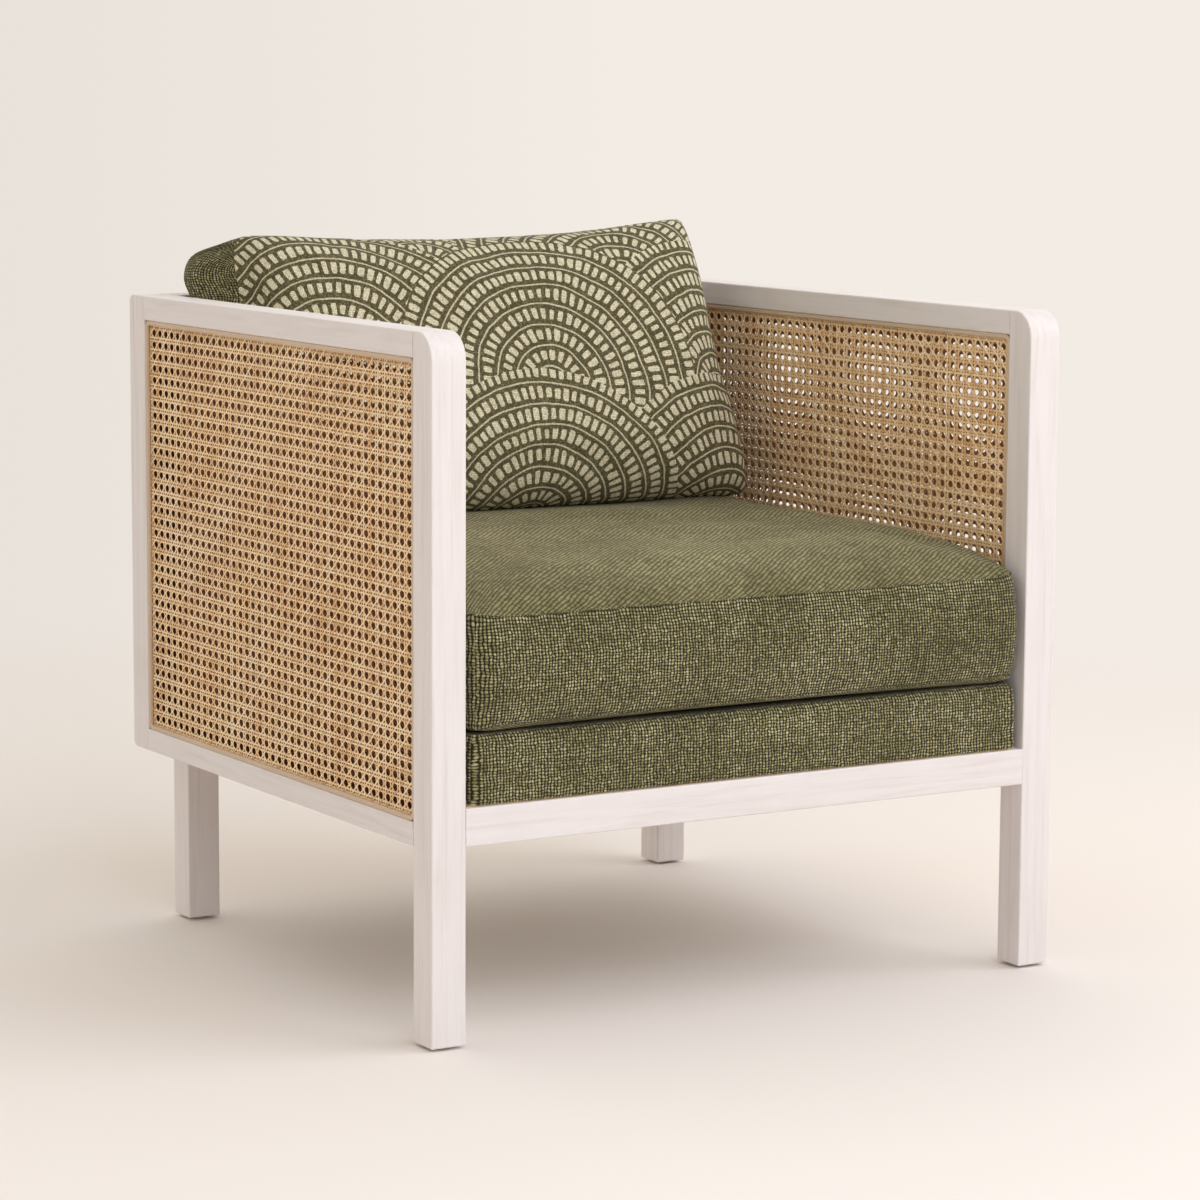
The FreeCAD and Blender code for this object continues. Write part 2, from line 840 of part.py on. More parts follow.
# Upholstered deck: a timber frame, straps, foam and a cover
def deck_dowel_spots():
    """Two dowels, one above the other, in each corner of the deck's frame."""
    spots = []
    across = "deck_core_half_width - deck_member_width / 2"
    for side in (-1, 1):
        for along in (
            "-deck_core_front + deck_member_width",
            "deck_core_back - deck_member_width",
        ):
            for share in DECK_DOWEL_SHARES:
                height = f"seat_rail_top + {share} * deck_member_height"
                spots.append(("y", f"{side} * ({across})", along, height))
    return spots


deck_holes = group("deck_holes", dowel_set("deck_dowel", deck_dowel_spots()))
frame_and_deck_holes = group("frame_and_deck_holes", [all_holes, deck_holes])


def deck_cross_member(label, low_y, outer_way):
    """The front or rear member. Its two outer corners are rounded under the cover."""
    body = new_body(label + "_timber")
    add_block(body, "2 * deck_core_half_width", "deck_member_width", "deck_member_height")
    middle = size("deck_member_width") / 2
    round_edges(
        body,
        "deck_core_radius",
        lambda edge: runs_along(edge, Z_AXIS)
        and (edge.CenterOfMass.y - middle) * outer_way > 0,
    )
    put(body, "-deck_core_half_width", low_y, "seat_rail_top")
    return keep(cut(label + "_bored", body, frame_and_deck_holes), label)


def deck_side_member(label, low_x):
    """A side member between the front and the rear one."""
    body = new_body(label + "_timber")
    add_block(body, "deck_member_width", "deck_side_member_length", "deck_member_height")
    put(body, low_x, "-deck_core_front + deck_member_width", "seat_rail_top")
    return keep(cut(label + "_bored", body, frame_and_deck_holes), label)


def straps(label, count, length, span, centre, along_y, z):
    """Evenly spaced elastic straps over the deck's frame."""
    made = []
    for number in range(count):
        share = (number + 1) / (count + 1) - 0.5
        strap = doc.addObject("Part::Box", f"{label}_{number}")
        offset = f"{share} * ({span}) - strap_width / 2"
        if along_y:
            bind(strap, Length="strap_width", Width=length, Height="strap_thickness")
            put(strap, offset, f"{centre} - ({length}) / 2", z)
        else:
            bind(strap, Length=length, Width="strap_width", Height="strap_thickness")
            put(strap, f"-({length}) / 2", f"{centre} + {offset}", z)
        made.append(strap)
    return keep(group(label, made), label + "s")


def rounded_slab(body, half_width, length, height, radius, low_y, z):
    """A slab whose upright and upper edges are rounded alike."""
    add_block(body, f"2 * {half_width}", length, height)
    top = body.Tip.Shape.BoundBox.ZMax
    round_edges(
        body,
        radius,
        lambda edge: runs_along(edge, Z_AXIS) or edge.CenterOfMass.z > top - size("arris_radius"),
    )
    return put(body, f"-{half_width}", low_y, z)


deck_middle = "(deck_core_back - deck_core_front) / 2"
deck_cross_member("deck_front_member", "-deck_core_front", -1)
deck_cross_member("deck_rear_member", "deck_core_back - deck_member_width", 1)
deck_side_member("deck_left_member", "-deck_core_half_width")
deck_side_member("deck_right_member", "deck_core_half_width - deck_member_width")
straps(
    "deck_long_strap",
    LONG_STRAP_COUNT,
    "deck_core_length - 2 * strap_end_setback",
    "2 * deck_core_half_width",
    deck_middle,
    True,
    "deck_member_top",
)
straps(
    "deck_cross_strap",
    CROSS_STRAP_COUNT,
    "2 * deck_core_half_width - 2 * strap_end_setback",
    "deck_core_length",
    deck_middle,
    False,
    "deck_member_top + strap_thickness",
)
keep(
    rounded_slab(
        new_body("deck_foam_slab"),
        "deck_core_half_width",
        "deck_core_length",
        "deck_foam_top - deck_foam_bottom",
        "deck_core_radius",
        "-deck_core_front",
        "deck_foam_bottom",
    ),
    "deck_foam",
)
deck_outside = rounded_slab(
    new_body("deck_outside"),
    "deck_half_width",
    "deck_length",
    "deck_height",
    "deck_edge_radius",
    "-deck_front",
    "seat_rail_top",
)
deck_inside = rounded_slab(
    new_body("deck_inside"),
    "deck_core_half_width",
    "deck_core_length",
    "deck_height - cover_thickness",
    "deck_core_radius",
    "-deck_core_front",
    "seat_rail_top",
)
keep(cut("deck_cover_shell", deck_outside, deck_inside), "deck_cover")

dust_cover = doc.addObject("Part::Box", "dust_cover_cloth")
bind(
    dust_cover,
    Length="2 * dust_cover_half_width",
    Width="dust_cover_front + deck_core_back",
    Height="dust_cover_thickness",
)
put(
    dust_cover,
    "-dust_cover_half_width",
    "-dust_cover_front",
    "seat_rail_top - dust_cover_thickness",
)
keep(dust_cover, "dust_cover")


# Seat cushion: a box cushion of foam in a sewn cover. Its panels are lofts through rounded
# rectangles, drawn with the middle of its underside at the origin.
def rounded_rectangle(half_width, front, back, radius, z):
    """A closed outline: four straight edges and four quarter arcs."""
    half_length = (back - front) / 2
    radius = min(radius, half_width - radius / 2, half_length - radius / 2)
    middle = (back + front) / 2
    edges = []
    for quarter, (way_x, way_y) in enumerate(((1, -1), (1, 1), (-1, 1), (-1, -1))):
        centre = Vector(
            way_x * (half_width - radius), middle + way_y * (half_length - radius), z
        )
        start_angle = 90 * quarter - 90
        edges.append(Part.makeCircle(radius, centre, Z_AXIS, start_angle, start_angle + 90))
    lines = [
        Part.makeLine(edges[i].valueAt(edges[i].LastParameter), nxt.valueAt(nxt.FirstParameter))
        for i, nxt in enumerate(edges[1:] + edges[:1])
    ]
    ordered = [edge for pair in zip(edges, lines) for edge in pair]
    return Part.Wire(ordered)


def cushion_outline(inset, z):
    """The cushion's outline at a height, drawn in by the inset."""
    radius = size("cushion_corner_radius")
    return rounded_rectangle(
        size("cushion_half_width") - inset,
        -size("cushion_front") + inset,
        size("cushion_back") - inset,
        radius + max(inset, -radius) / 2,
        z,
    )


def loft(wires):
    """A solid with straight facets from one outline to the next."""
    return Part.makeLoft(wires, True, True)


def boxing_form(skin):
    """The upright band, swollen at its middle height. skin draws it in on all sides."""
    bottom = size("cushion_base_drop")
    height, bulge = size("boxing_height"), size("boxing_bulge")
    return loft(
        [
            cushion_outline(skin - swell * bulge, bottom + share * height)
            for share, swell in BOXING_SHARES
        ]
    )


def domed_form(skin, start, way, rise, reach, shares):
    """A panel that swells from a seam up or down to a flat middle."""
    full_rise = rise - skin
    return loft(
        [
            cushion_outline(skin + inward * reach, start + way * share * full_rise)
            for inward, share in shares
        ]
    )


def seat_cushion():
    """Three sewn panels, the foam that they hold and the zip at the back."""
    skin = size("cover_thickness")
    low_seam = size("cushion_base_drop")
    high_seam = low_seam + size("boxing_height")
    crown = (high_seam, 1, size("cushion_crown"), size("cushion_crown_reach"), CROWN_SHARES)
    base = (low_seam, -1, size("cushion_base_drop"), size("cushion_base_reach"), BASE_SHARES)
    foam = []
    for label, form in (
        ("seat_cushion_top_panel", lambda inset: domed_form(inset, *crown)),
        ("seat_cushion_boxing", boxing_form),
        ("seat_cushion_bottom_panel", lambda inset: domed_form(inset, *base)),
    ):
        core = form(skin)
        foam.append(core)
        add_form(label, form(0).cut(core), z="cushion_bottom")
    add_form("seat_cushion_foam", foam[0].fuse(foam[1:]), z="cushion_bottom")


seat_cushion()
cushion_zip = doc.addObject("Part::Box", "cushion_zip_tape")
bind(cushion_zip, Length="cushion_zip_length", Width="zip_thickness", Height="zip_height")
put(
    cushion_zip,
    "-cushion_zip_length / 2",
    "cushion_back + boxing_bulge",
    "boxing_middle - zip_height / 2",
)
keep(cushion_zip, "seat_cushion_zip")


# Back pillow: two covers sewn edge to edge, leaning back with its flat back against the frame.
# Its outlines are four arcs between four corners, drawn from the foot to the head of the seam.
def pillow_outline(foot, head, half_width, inset, pull):
    """A straight foot, then sides and a head that are pulled in between their corners."""
    middle = (foot + head) / 2
    upward = (head - foot).normalize()
    up_half = (head - foot) / 2 - upward * inset
    half_width = half_width - inset
    inward = upward * pull
    corners = [
        middle + X_AXIS * half_width * way_x + up_half * way_up
        for way_x, way_up in ((-1, -1), (1, -1), (1, 1), (-1, 1))
    ]
    middles = [
        middle + X_AXIS * (half_width - pull),
        middle + up_half - inward,
        middle - X_AXIS * (half_width - pull),
    ]
    ends = corners[2:] + corners[:1]
    edges = [Part.makeLine(*corners[:2])]
    for start, between, end in zip(corners[1:], middles, ends):
        edges.append(Part.Arc(start, between, end).toShape())
    return Part.Wire(edges)


def pillow_seam():
    """The middle of the seam's foot and of its head."""
    foot = Vector(0, size("inner_depth") - size("pillow_foot_setback"), size("pillow_foot"))
    head = Vector(0, size("inner_depth") - size("pillow_head_setback"), size("pillow_head"))
    return foot, head


def pillow_front_form(skin):
    """The front half, from the seam out to the crown."""
    foot, head = pillow_seam()
    out = X_AXIS.cross(head - foot).normalize()
    pull = size("pillow_edge_pull")
    reach, crown = size("pillow_crown_reach"), size("pillow_front_crown") - skin
    return loft(
        [
            pillow_outline(
                foot + out * rise * crown,
                head + out * rise * crown,
                size("pillow_half_width"),
                skin + inward * reach,
                pull * (1 - PULL_LOSS_SHARE * rise),
            )
            for inward, rise in PILLOW_FRONT_SHARES
        ]
    )


def pillow_back_form(skin):
    """The back half, from the seam to the flat that leans on the back frame."""
    foot, head = pillow_seam()
    pull, reach = size("pillow_edge_pull"), size("pillow_back_reach")
    back = size("pillow_back") - skin
    return loft(
        [
            pillow_outline(
                foot + Y_AXIS * way_back * (back - foot.y),
                head + Y_AXIS * way_back * (back - head.y),
                size("pillow_half_width") + swell * size("pillow_side_swell"),
                skin + inward * reach,
                pull * (1 - PULL_LOSS_SHARE * way_back),
            )
            for way_back, swell, inward in PILLOW_BACK_SHARES
        ]
    )


def back_pillow():
    """The patterned front cover, the plain back cover with the zip let in, and the filling."""
    skin = size("cover_thickness")
    front_core, back_core = pillow_front_form(skin), pillow_back_form(skin)
    add_form("back_pillow_front_cover", pillow_front_form(0).cut(front_core))
    back_cover = pillow_back_form(0).cut(back_core)
    add_form("back_pillow_back_cover", back_cover.cut(pillow_zip.Shape))
    add_form("back_pillow_filling", front_core.fuse(back_core))


pillow_zip = doc.addObject("Part::Box", "pillow_zip_tape")
bind(pillow_zip, Length="pillow_zip_length", Width="zip_thickness", Height="zip_height")
put(
    pillow_zip,
    "-pillow_zip_length / 2",
    "pillow_back - zip_thickness",
    "pillow_foot + pillow_zip_rise",
)
keep(pillow_zip, "back_pillow_zip")
doc.recompute()
back_pillow()


# Check every object, then write each sub-part
doc.recompute()
for thing in doc.Objects:
    if "Invalid" in thing.State or "Error" in thing.State:
        raise RuntimeError(f"{thing.Name} failed: {thing.State}")
for part in subparts:
    if part.Shape.isNull() or not part.Shape.isValid() or not part.Shape.Solids:
        raise RuntimeError(f"{part.Label} has no valid solid")
os.makedirs("parts", exist_ok=True)
for part in subparts:
    part.Shape.exportStep(os.path.join("parts", part.Label + ".step"))
    box = part.Shape.BoundBox
    print(
        f"{part.Label}: {len(part.Shape.Solids)} solid(s), {part.Shape.Volume / 1000:.1f} cm3,"
        f" z {box.ZMin:.1f} to {box.ZMax:.1f}"
    )
print(len(subparts), "sub-parts")
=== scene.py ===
import math

import bpy
import numpy as np
from mathutils import Matrix, Vector


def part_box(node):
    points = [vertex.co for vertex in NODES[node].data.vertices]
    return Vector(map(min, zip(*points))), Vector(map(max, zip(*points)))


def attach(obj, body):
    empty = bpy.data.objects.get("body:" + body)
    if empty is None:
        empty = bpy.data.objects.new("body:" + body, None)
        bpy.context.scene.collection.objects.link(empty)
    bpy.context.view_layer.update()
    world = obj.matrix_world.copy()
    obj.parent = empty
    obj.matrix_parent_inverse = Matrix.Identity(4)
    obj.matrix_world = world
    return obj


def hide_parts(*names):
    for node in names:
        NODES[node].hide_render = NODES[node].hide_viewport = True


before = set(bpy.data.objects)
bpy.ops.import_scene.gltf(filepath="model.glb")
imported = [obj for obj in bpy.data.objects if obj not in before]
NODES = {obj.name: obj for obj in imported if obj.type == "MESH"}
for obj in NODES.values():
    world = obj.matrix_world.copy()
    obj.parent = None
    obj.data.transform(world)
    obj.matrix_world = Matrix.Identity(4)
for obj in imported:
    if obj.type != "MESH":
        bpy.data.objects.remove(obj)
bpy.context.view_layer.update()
MM = 0.001
TAU = 2 * math.pi


# Camera and light
CAMERA_PLACE = Vector((-2.14485, -3.57524, 0.95495))
CAMERA_YAW = 0.54495
CAMERA_PITCH = 0.13749
CAMERA_ROLL = 0.00556
FOCAL_SHARE = 3885.54 / 1200
SENSOR_WIDTH = 36.0
LAMP_TARGET = Vector((0, 0, 0.3))
# Each lamp's name, place, size in metres and power in watts
LAMPS = (
    ("key", (3.4, -3.4, 4.2), 4.6, 160),
    ("front", (-0.6, -4.4, 2.6), 3.0, 88),
    ("side", (4.2, -1.2, 3.2), 2.0, 12),
    ("back", (2.6, 2.6, 3.4), 3.0, 11),
)


def linear(red, green, blue):
    """A colour given in 0 to 255 display values, as the linear values that nodes take."""
    shares = (channel / 255 for channel in (red, green, blue))
    return (*(s / 12.92 if s <= 0.04045 else ((s + 0.055) / 1.055) ** 2.4 for s in shares), 1.0)


LAMP_COLOUR = linear(245, 248, 255)
AMBIENT = linear(255, 250, 241)
AMBIENT_STRENGTH = 0.72
# How much stronger the light from all round gets toward the chair's right, back and top
AMBIENT_LEAN = (0.0, 0.52, 0.0)
# The backdrop's glow, with painted shade that makes it darker to the left
BACKDROP_LEFT = linear(233, 226, 218)
BACKDROP_RIGHT = linear(243, 236, 228)
# Where the backdrop goes from its left to its right colour, as the sine of the turn from the
# middle of the picture
BACKDROP_TURN = (-0.17, 0.04)
FLOOR_REACH = 60.0
# How far from the chair's middle the floor begins to fade into the backdrop, and has faded
FLOOR_FADE = (1.1, 2.8)


def add_object(name, data):
    made = bpy.data.objects.new(name, data)
    bpy.context.scene.collection.objects.link(made)
    return made


def add_camera():
    camera = bpy.data.cameras.new("camera")
    camera.sensor_width = SENSOR_WIDTH
    camera.lens = FOCAL_SHARE * SENSOR_WIDTH
    camera.clip_end = 100
    level = math.cos(CAMERA_PITCH)
    ahead = Vector(
        (math.sin(CAMERA_YAW) * level, math.cos(CAMERA_YAW) * level, -math.sin(CAMERA_PITCH))
    )
    right = ahead.cross(Vector((0, 0, 1))).normalized()
    turn = Matrix((right, right.cross(ahead), -ahead)).transposed()
    turn = turn @ Matrix.Rotation(CAMERA_ROLL, 3, "Z")
    holder = add_object("camera", camera)
    holder.matrix_world = Matrix.Translation(CAMERA_PLACE) @ turn.to_4x4()
    bpy.context.scene.camera = holder


def add_lamps():
    for name, place, size, watts in LAMPS:
        lamp = bpy.data.lights.new(name, "AREA")
        lamp.shape = "SQUARE"
        lamp.size = size
        lamp.energy = watts
        lamp.color = LAMP_COLOUR[:3]
        holder = add_object(name, lamp)
        holder.location = place
        holder.rotation_euler = (LAMP_TARGET - Vector(place)).to_track_quat("-Z", "Y").to_euler()


# A small language for nodes
class Value:
    """A number that comes out of a node. Sums, products and powers of it are nodes too."""

    def __init__(self, nodes, socket):
        self.nodes, self.socket = nodes, socket

    def __add__(self, other):
        return self.nodes.math("ADD", self, other)

    def __sub__(self, other):
        return self.nodes.math("SUBTRACT", self, other)

    def __mul__(self, other):
        return self.nodes.math("MULTIPLY", self, other)

    def __truediv__(self, other):
        return self.nodes.math("DIVIDE", self, other)

    def __pow__(self, other):
        return self.nodes.math("POWER", self, other)

    def __abs__(self):
        return self.nodes.math("ABSOLUTE", self)


class Nodes:
    """A tree of nodes, and short ways to add to it."""

    def __init__(self, tree):
        self.tree = tree

    def add(self, kind, inputs=(), **settings):
        """A node with its settings. inputs pairs sockets' names or numbers with values."""
        node = self.tree.nodes.new("ShaderNode" + kind)
        for name, value in settings.items():
            setattr(node, name, value)
        for socket, value in dict(inputs).items():
            self.feed(node.inputs[socket], value)
        return node

    def feed(self, socket, value):
        """Links an output to a socket, or sets the socket to a plain value."""
        if isinstance(value, Value):
            value = value.socket
        if isinstance(value, bpy.types.NodeSocket):
            self.tree.links.new(value, socket)
        else:
            socket.default_value = value

    def math(self, operation, *values):
        return Value(self, self.add("Math", enumerate(values), operation=operation).outputs[0])

    def step(self, value, low, high):
        """0 below low, 1 above high, smooth between. low may be above high."""
        inputs = {"Value": value, "From Min": low, "From Max": high}
        node = self.add("MapRange", inputs, interpolation_type="SMOOTHSTEP")
        return Value(self, node.outputs[0])

    def blend(self, share, first, second):
        """A number between first and second."""
        node = self.add("Mix", {0: share, 2: first, 3: second}, data_type="FLOAT")
        return Value(self, node.outputs[0])

    def colours(self, share, first, second):
        """A colour between first and second."""
        return self.add("Mix", {0: share, 6: first, 7: second}, data_type="RGBA").outputs[2]

    def ramp(self, value, *stops):
        """The colour for a number. Each stop is a place and a colour in display values."""
        node = self.add("ValToRGB", {0: value})
        elements = node.color_ramp.elements
        while len(elements) > 1:
            elements.remove(elements[-1])
        for number, (place, *colour) in enumerate(stops):
            element = elements.new(place) if number else elements[0]
            element.position = place
            element.color = linear(*colour)
        return node.outputs[0]

    def place(self):
        """The point of the surface in the chair's own frame, in metres."""
        return self.add("TexCoord").outputs["Object"]

    def flat_map(self):
        """The point of the surface on the cloth laid flat, in metres."""
        return self.add("UVMap", uv_map="cloth").outputs[0]

    def attribute(self, name):
        return Value(self, self.add("Attribute", attribute_name=name).outputs["Fac"])

    def parts(self, vector):
        return [Value(self, part) for part in self.add("SeparateXYZ", {0: vector}).outputs]

    def joined(self, *parts):
        return self.add("CombineXYZ", enumerate(parts)).outputs[0]

    def dot(self, first, second):
        node = self.add("VectorMath", {0: first, 1: second}, operation="DOT_PRODUCT")
        return Value(self, node.outputs["Value"])

    def stretched(self, vector, scale, shift=(0, 0, 0)):
        inputs = {"Vector": vector, "Scale": scale, "Location": shift}
        return self.add("Mapping", inputs).outputs[0]

    def noise(self, vector, scale, detail, roughness=0.5, distortion=0.0):
        inputs = {"Vector": vector, "Scale": scale, "Detail": detail, "Roughness": roughness,
                  "Distortion": distortion}
        return Value(self, self.add("TexNoise", inputs).outputs["Fac"])

    def random(self, *cell):
        """A random value for each whole-number cell."""
        node = self.add("TexWhiteNoise", {"Vector": self.joined(*cell)}, noise_dimensions="3D")
        return Value(self, node.outputs["Value"])

    def off_middle(self, value):
        """The whole-number cell of a value, and how far it lies from the cell's middle."""
        return self.math("FLOOR", value), abs(self.math("FRACT", value) - 0.5)

    def bump(self, height, distance, strength):
        inputs = {"Strength": strength, "Distance": distance, "Height": height}
        return self.add("Bump", inputs).outputs[0]

    def seen(self):
        """1 for what the camera sees, straight or by a mirror or a glass, and 0 otherwise."""
        ways = self.add("LightPath").outputs
        found = ways["Is Camera Ray"]
        for name in ("Is Glossy Ray", "Is Transmission Ray"):
            found = self.math("MAXIMUM", found, ways[name])
        return found

    def backdrop(self, way):
        """The backdrop's colour for a way out from the camera's place: painted shade, darker to
        the left.
        """
        level = self.add("VectorMath", {0: way, 1: (1, 1, 0)}, operation="MULTIPLY")
        plain = self.add("VectorMath", {0: level.outputs[0]}, operation="NORMALIZE")
        right = (math.cos(CAMERA_YAW), -math.sin(CAMERA_YAW), 0)
        share = self.step(self.dot(plain.outputs[0], right), *BACKDROP_TURN)
        return self.colours(share, BACKDROP_LEFT, BACKDROP_RIGHT)


class Shader(Nodes):
    """A material with a Principled shader."""

    def __init__(self, name):
        self.material = bpy.data.materials.new(name)
        self.material.use_nodes = True
        super().__init__(self.material.node_tree)
        self.base = self.tree.nodes["Principled BSDF"]

    def finish(self, colour, roughness, normal=None, **settings):
        """Sets the shader's sockets and gives the material."""
        settings |= {"Base_Color": colour, "Roughness": roughness}
        if normal is not None:
            settings["Normal"] = normal
        for name, value in settings.items():
            self.feed(self.base.inputs[name.replace("_", " ")], value)
        return self.material


# Materials of wood and cane
# Where the hollow between the sheets of the side frames ends: an axis, and the place along it
# where the wood is washed and where it is bare and painted dark as the shade in the hollow
HOLLOW_ENDS = (
    (0, 0.3431, 0.3435),
    (0, 0.3689, 0.3685),
    (1, 0.3072, 0.3068),
    (2, 0.6742, 0.6738),
    (2, 0.2218, 0.2222),
)
ARRIS_RADIUS = 1.8 * MM
# Painted shade on the backs of the cane strands, which face the hollow between the sheets
CANE_BACK_SHADE = (150, 96, 54)


def along_grain(shader, place, along, squeeze):
    """Places squeezed along one axis, where noise runs out into long grain."""
    return shader.stretched(place, [squeeze if axis == along else 1.0 for axis in "xyz"])


def whitewashed_wood(along):
    """Timber under a thin pinkish white wash. Its grain runs along one axis of the chair."""
    shader = Shader("whitewashed_wood_" + along)
    place = shader.place()
    grain = along_grain(shader, place, along, 0.045)
    fine = shader.noise(grain, 900, 3, 0.6)
    broad = shader.noise(grain, 130, 4, 0.55, 0.6)
    patch = shader.noise(place, 9, 3)
    colour = shader.ramp(broad, (0.30, 223, 213, 209), (0.45, 229, 221, 218),
                         (0.60, 232, 225, 223), (0.78, 227, 218, 215))
    streaks = shader.step(fine, 0.56, 0.74) * 0.16
    colour = shader.colours(streaks, colour, linear(206, 190, 182))
    patches = shader.step(patch, 0.52, 0.75) * 0.35
    colour = shader.colours(patches, colour, linear(220, 208, 203))
    # Small knots
    inputs = {"Vector": along_grain(shader, place, along, 0.5225), "Scale": 7.0}
    knots = shader.add("TexVoronoi", inputs, feature="F1")
    knot = shader.step(knots.outputs["Distance"], 0.075, 0.015) * 0.45
    colour = shader.colours(knot, colour, linear(186, 156, 136))
    # Wash worn off the arrises
    bevel = shader.add("Bevel", {"Radius": ARRIS_RADIUS}, samples=6)
    flat = shader.add("NewGeometry").outputs["Normal"]
    edge = shader.step(shader.dot(bevel.outputs[0], flat), 0.985, 0.90)
    rubbed = shader.step(shader.noise(place, 34, 4, 0.65), 0.50, 0.66)
    colour = shader.colours(edge * rubbed * 0.75, colour, linear(176, 138, 108))
    # The wash doesn't reach between the two sheets of cane: the bare wood there is painted dark as
    # the shade in the hollow
    x, y, z = shader.parts(place)
    places = (abs(x), abs(y), z)
    inside = [shader.step(places[axis], *ends) for axis, *ends in HOLLOW_ENDS]
    hollow_shade = math.prod(inside[1:], start=inside[0])
    colour = shader.colours(hollow_shade, colour, linear(112, 78, 50))
    relief = shader.bump(fine * 0.6 + broad * 0.8, 0.25 * MM, 0.35)
    return shader.finish(colour, shader.blend(broad, 0.42, 0.6), relief, Specular_IOR_Level=0.35)


def bare_wood(along):
    """Unfinished hardwood, for what no one sees."""
    shader = Shader("bare_wood_" + along)
    grain = shader.noise(along_grain(shader, shader.place(), along, 0.05), 220, 5, 0.6, 0.4)
    colour = shader.ramp(grain, (0.32, 166, 130, 92), (0.5, 196, 162, 122), (0.7, 208, 178, 138))
    return shader.finish(colour, 0.75, shader.bump(grain, 0.3 * MM, 0.4))


def cane(name, deep, middle, light):
    """Split cane. Each strand has its own tone, a skin with flecks, and a back painted darker as
    shade.
    """
    shader = Shader(name)
    place = shader.place()
    fleck = shader.noise(place, 260, 3, 0.6)
    share = shader.attribute("tone") * 0.55 + shader.noise(place, 14, 3, 0.55) * 0.45
    colour = shader.ramp(share, (0.22, *deep), (0.5, *middle), (0.8, *light))
    spots = shader.step(fleck, 0.60, 0.74) * 0.35
    colour = shader.colours(spots, colour, linear(*deep))
    # Painted shade: darker toward each strand's back, which faces the hollow between the sheets
    colour = shader.colours(shader.attribute("back"), colour, linear(*CANE_BACK_SHADE))
    relief = shader.bump(fleck, 0.15 * MM, 0.3)
    return shader.finish(colour, 0.48, relief, Specular_IOR_Level=0.35)


# Materials of cloth
DOT_ACROSS = 3.6 * MM
DOT_UP = 3.1 * MM
# The height down to which the rows of dots are straight, and the one where they are uneven
SEAM_BAND = (0.412, 0.398)
RIB_PITCH = 7.4 * MM
# How far the ribs slant in the panel's middle, and how much more by the square of the distance
RIB_LEAN = 0.90
RIB_TURN = 1.84
PICK_PITCH = 2.4 * MM
# Where the top panel begins to bend down to the front seam, and where it meets it
FRONT_BEND = (-0.20, -0.33)
PRINT_WEAVE = 1.9 * MM


def weave(shader, across, along, pitch_across, pitch_along, repeat, over, gap=(0.56, 0.2)):
    """A weave for a point on the cloth in metres: how far the nearest yarn stands up, a random
    tone for each cell and one for the yarns. Of each repeat of yarns, as many as over lie on
    top. gap gives where a yarn ends and where it is full, in shares of a cell from its middle."""
    cell_u, in_u = shader.off_middle(across * (1 / pitch_across))
    cell_v, in_v = shader.off_middle(along * (1 / pitch_along))
    turn = shader.math("FLOORED_MODULO", cell_u - cell_v, repeat)
    on_top = shader.step(turn, over - 0.4, over - 0.6)
    # Yarns along v are narrow in u and end softly in v, and the other way round
    square_u, square_v = in_u * in_u, in_v * in_v
    upright = square_u + square_v * 0.7
    level = square_v + square_u * 0.7
    edge = shader.math("SQRT", shader.blend(on_top, level, upright))
    tone = shader.random(cell_u, cell_v, 0.5)
    yarns = shader.random(cell_u, 0.5, 7.5) + shader.random(0.5, cell_v, 3.5)
    return shader.step(edge, *gap), tone, yarns * 0.5


def finish_olive(shader, uv, height, colour):
    """The rest of a heavy olive cloth: gaps between the yarns painted dark as shade, fibres, and a
    dull soft surface.
    """
    fibre = shader.noise(uv, 1400, 2, 0.6)
    # Painted shade: the gaps between the yarns darken toward near black
    colour = shader.colours(height, linear(34, 31, 13), colour)
    relief = shader.bump(height + fibre * 0.3, 0.8 * MM, 0.7)
    return shader.finish(colour, 0.95, relief, Sheen_Weight=0.08, Sheen_Roughness=0.7,
                         Specular_IOR_Level=0.12)


def wandering(shader, uv, broad, fine):
    """Places on the cloth that drift by the given lengths, so that no yarn runs dead straight."""
    found = []
    for start, part in zip((0.0, 3.7), shader.parts(uv)):
        moved = shader.stretched(uv, (1, 1, 1), (start, 0.3, 0))
        drift = (shader.noise(moved, 55, 3, 0.6) - 0.5) * broad
        shake = (shader.noise(moved, 210, 2, 0.6) - 0.5) * fine
        found.append(part + (drift + shake))
    return found


def dotted_cloth(name):
    """The bands' cloth: pale dots in gaps painted dark as shade, in straight rows near the top
    seam and uneven ones below it."""
    shader = Shader(name)
    uv = shader.flat_map()
    below = shader.step(shader.parts(uv)[1], *SEAM_BAND)
    u, v = wandering(shader, uv, 6 * MM, shader.blend(below, 0.4 * MM, 2.6 * MM))
    height, tone, yarns = weave(shader, u, v, DOT_ACROSS, DOT_UP, 1, 1, (0.46, 0.18))
    cloud = shader.noise(shader.place(), 9, 4, 0.6)
    mixed = tone * 0.3 + yarns * 0.12 + (cloud - 0.5) * 0.5
    colour = shader.ramp(mixed, (0.02, 114, 107, 66), (0.18, 146, 138, 93),
                         (0.32, 172, 164, 119), (0.46, 206, 198, 157))
    return finish_olive(shader, uv, height, colour)


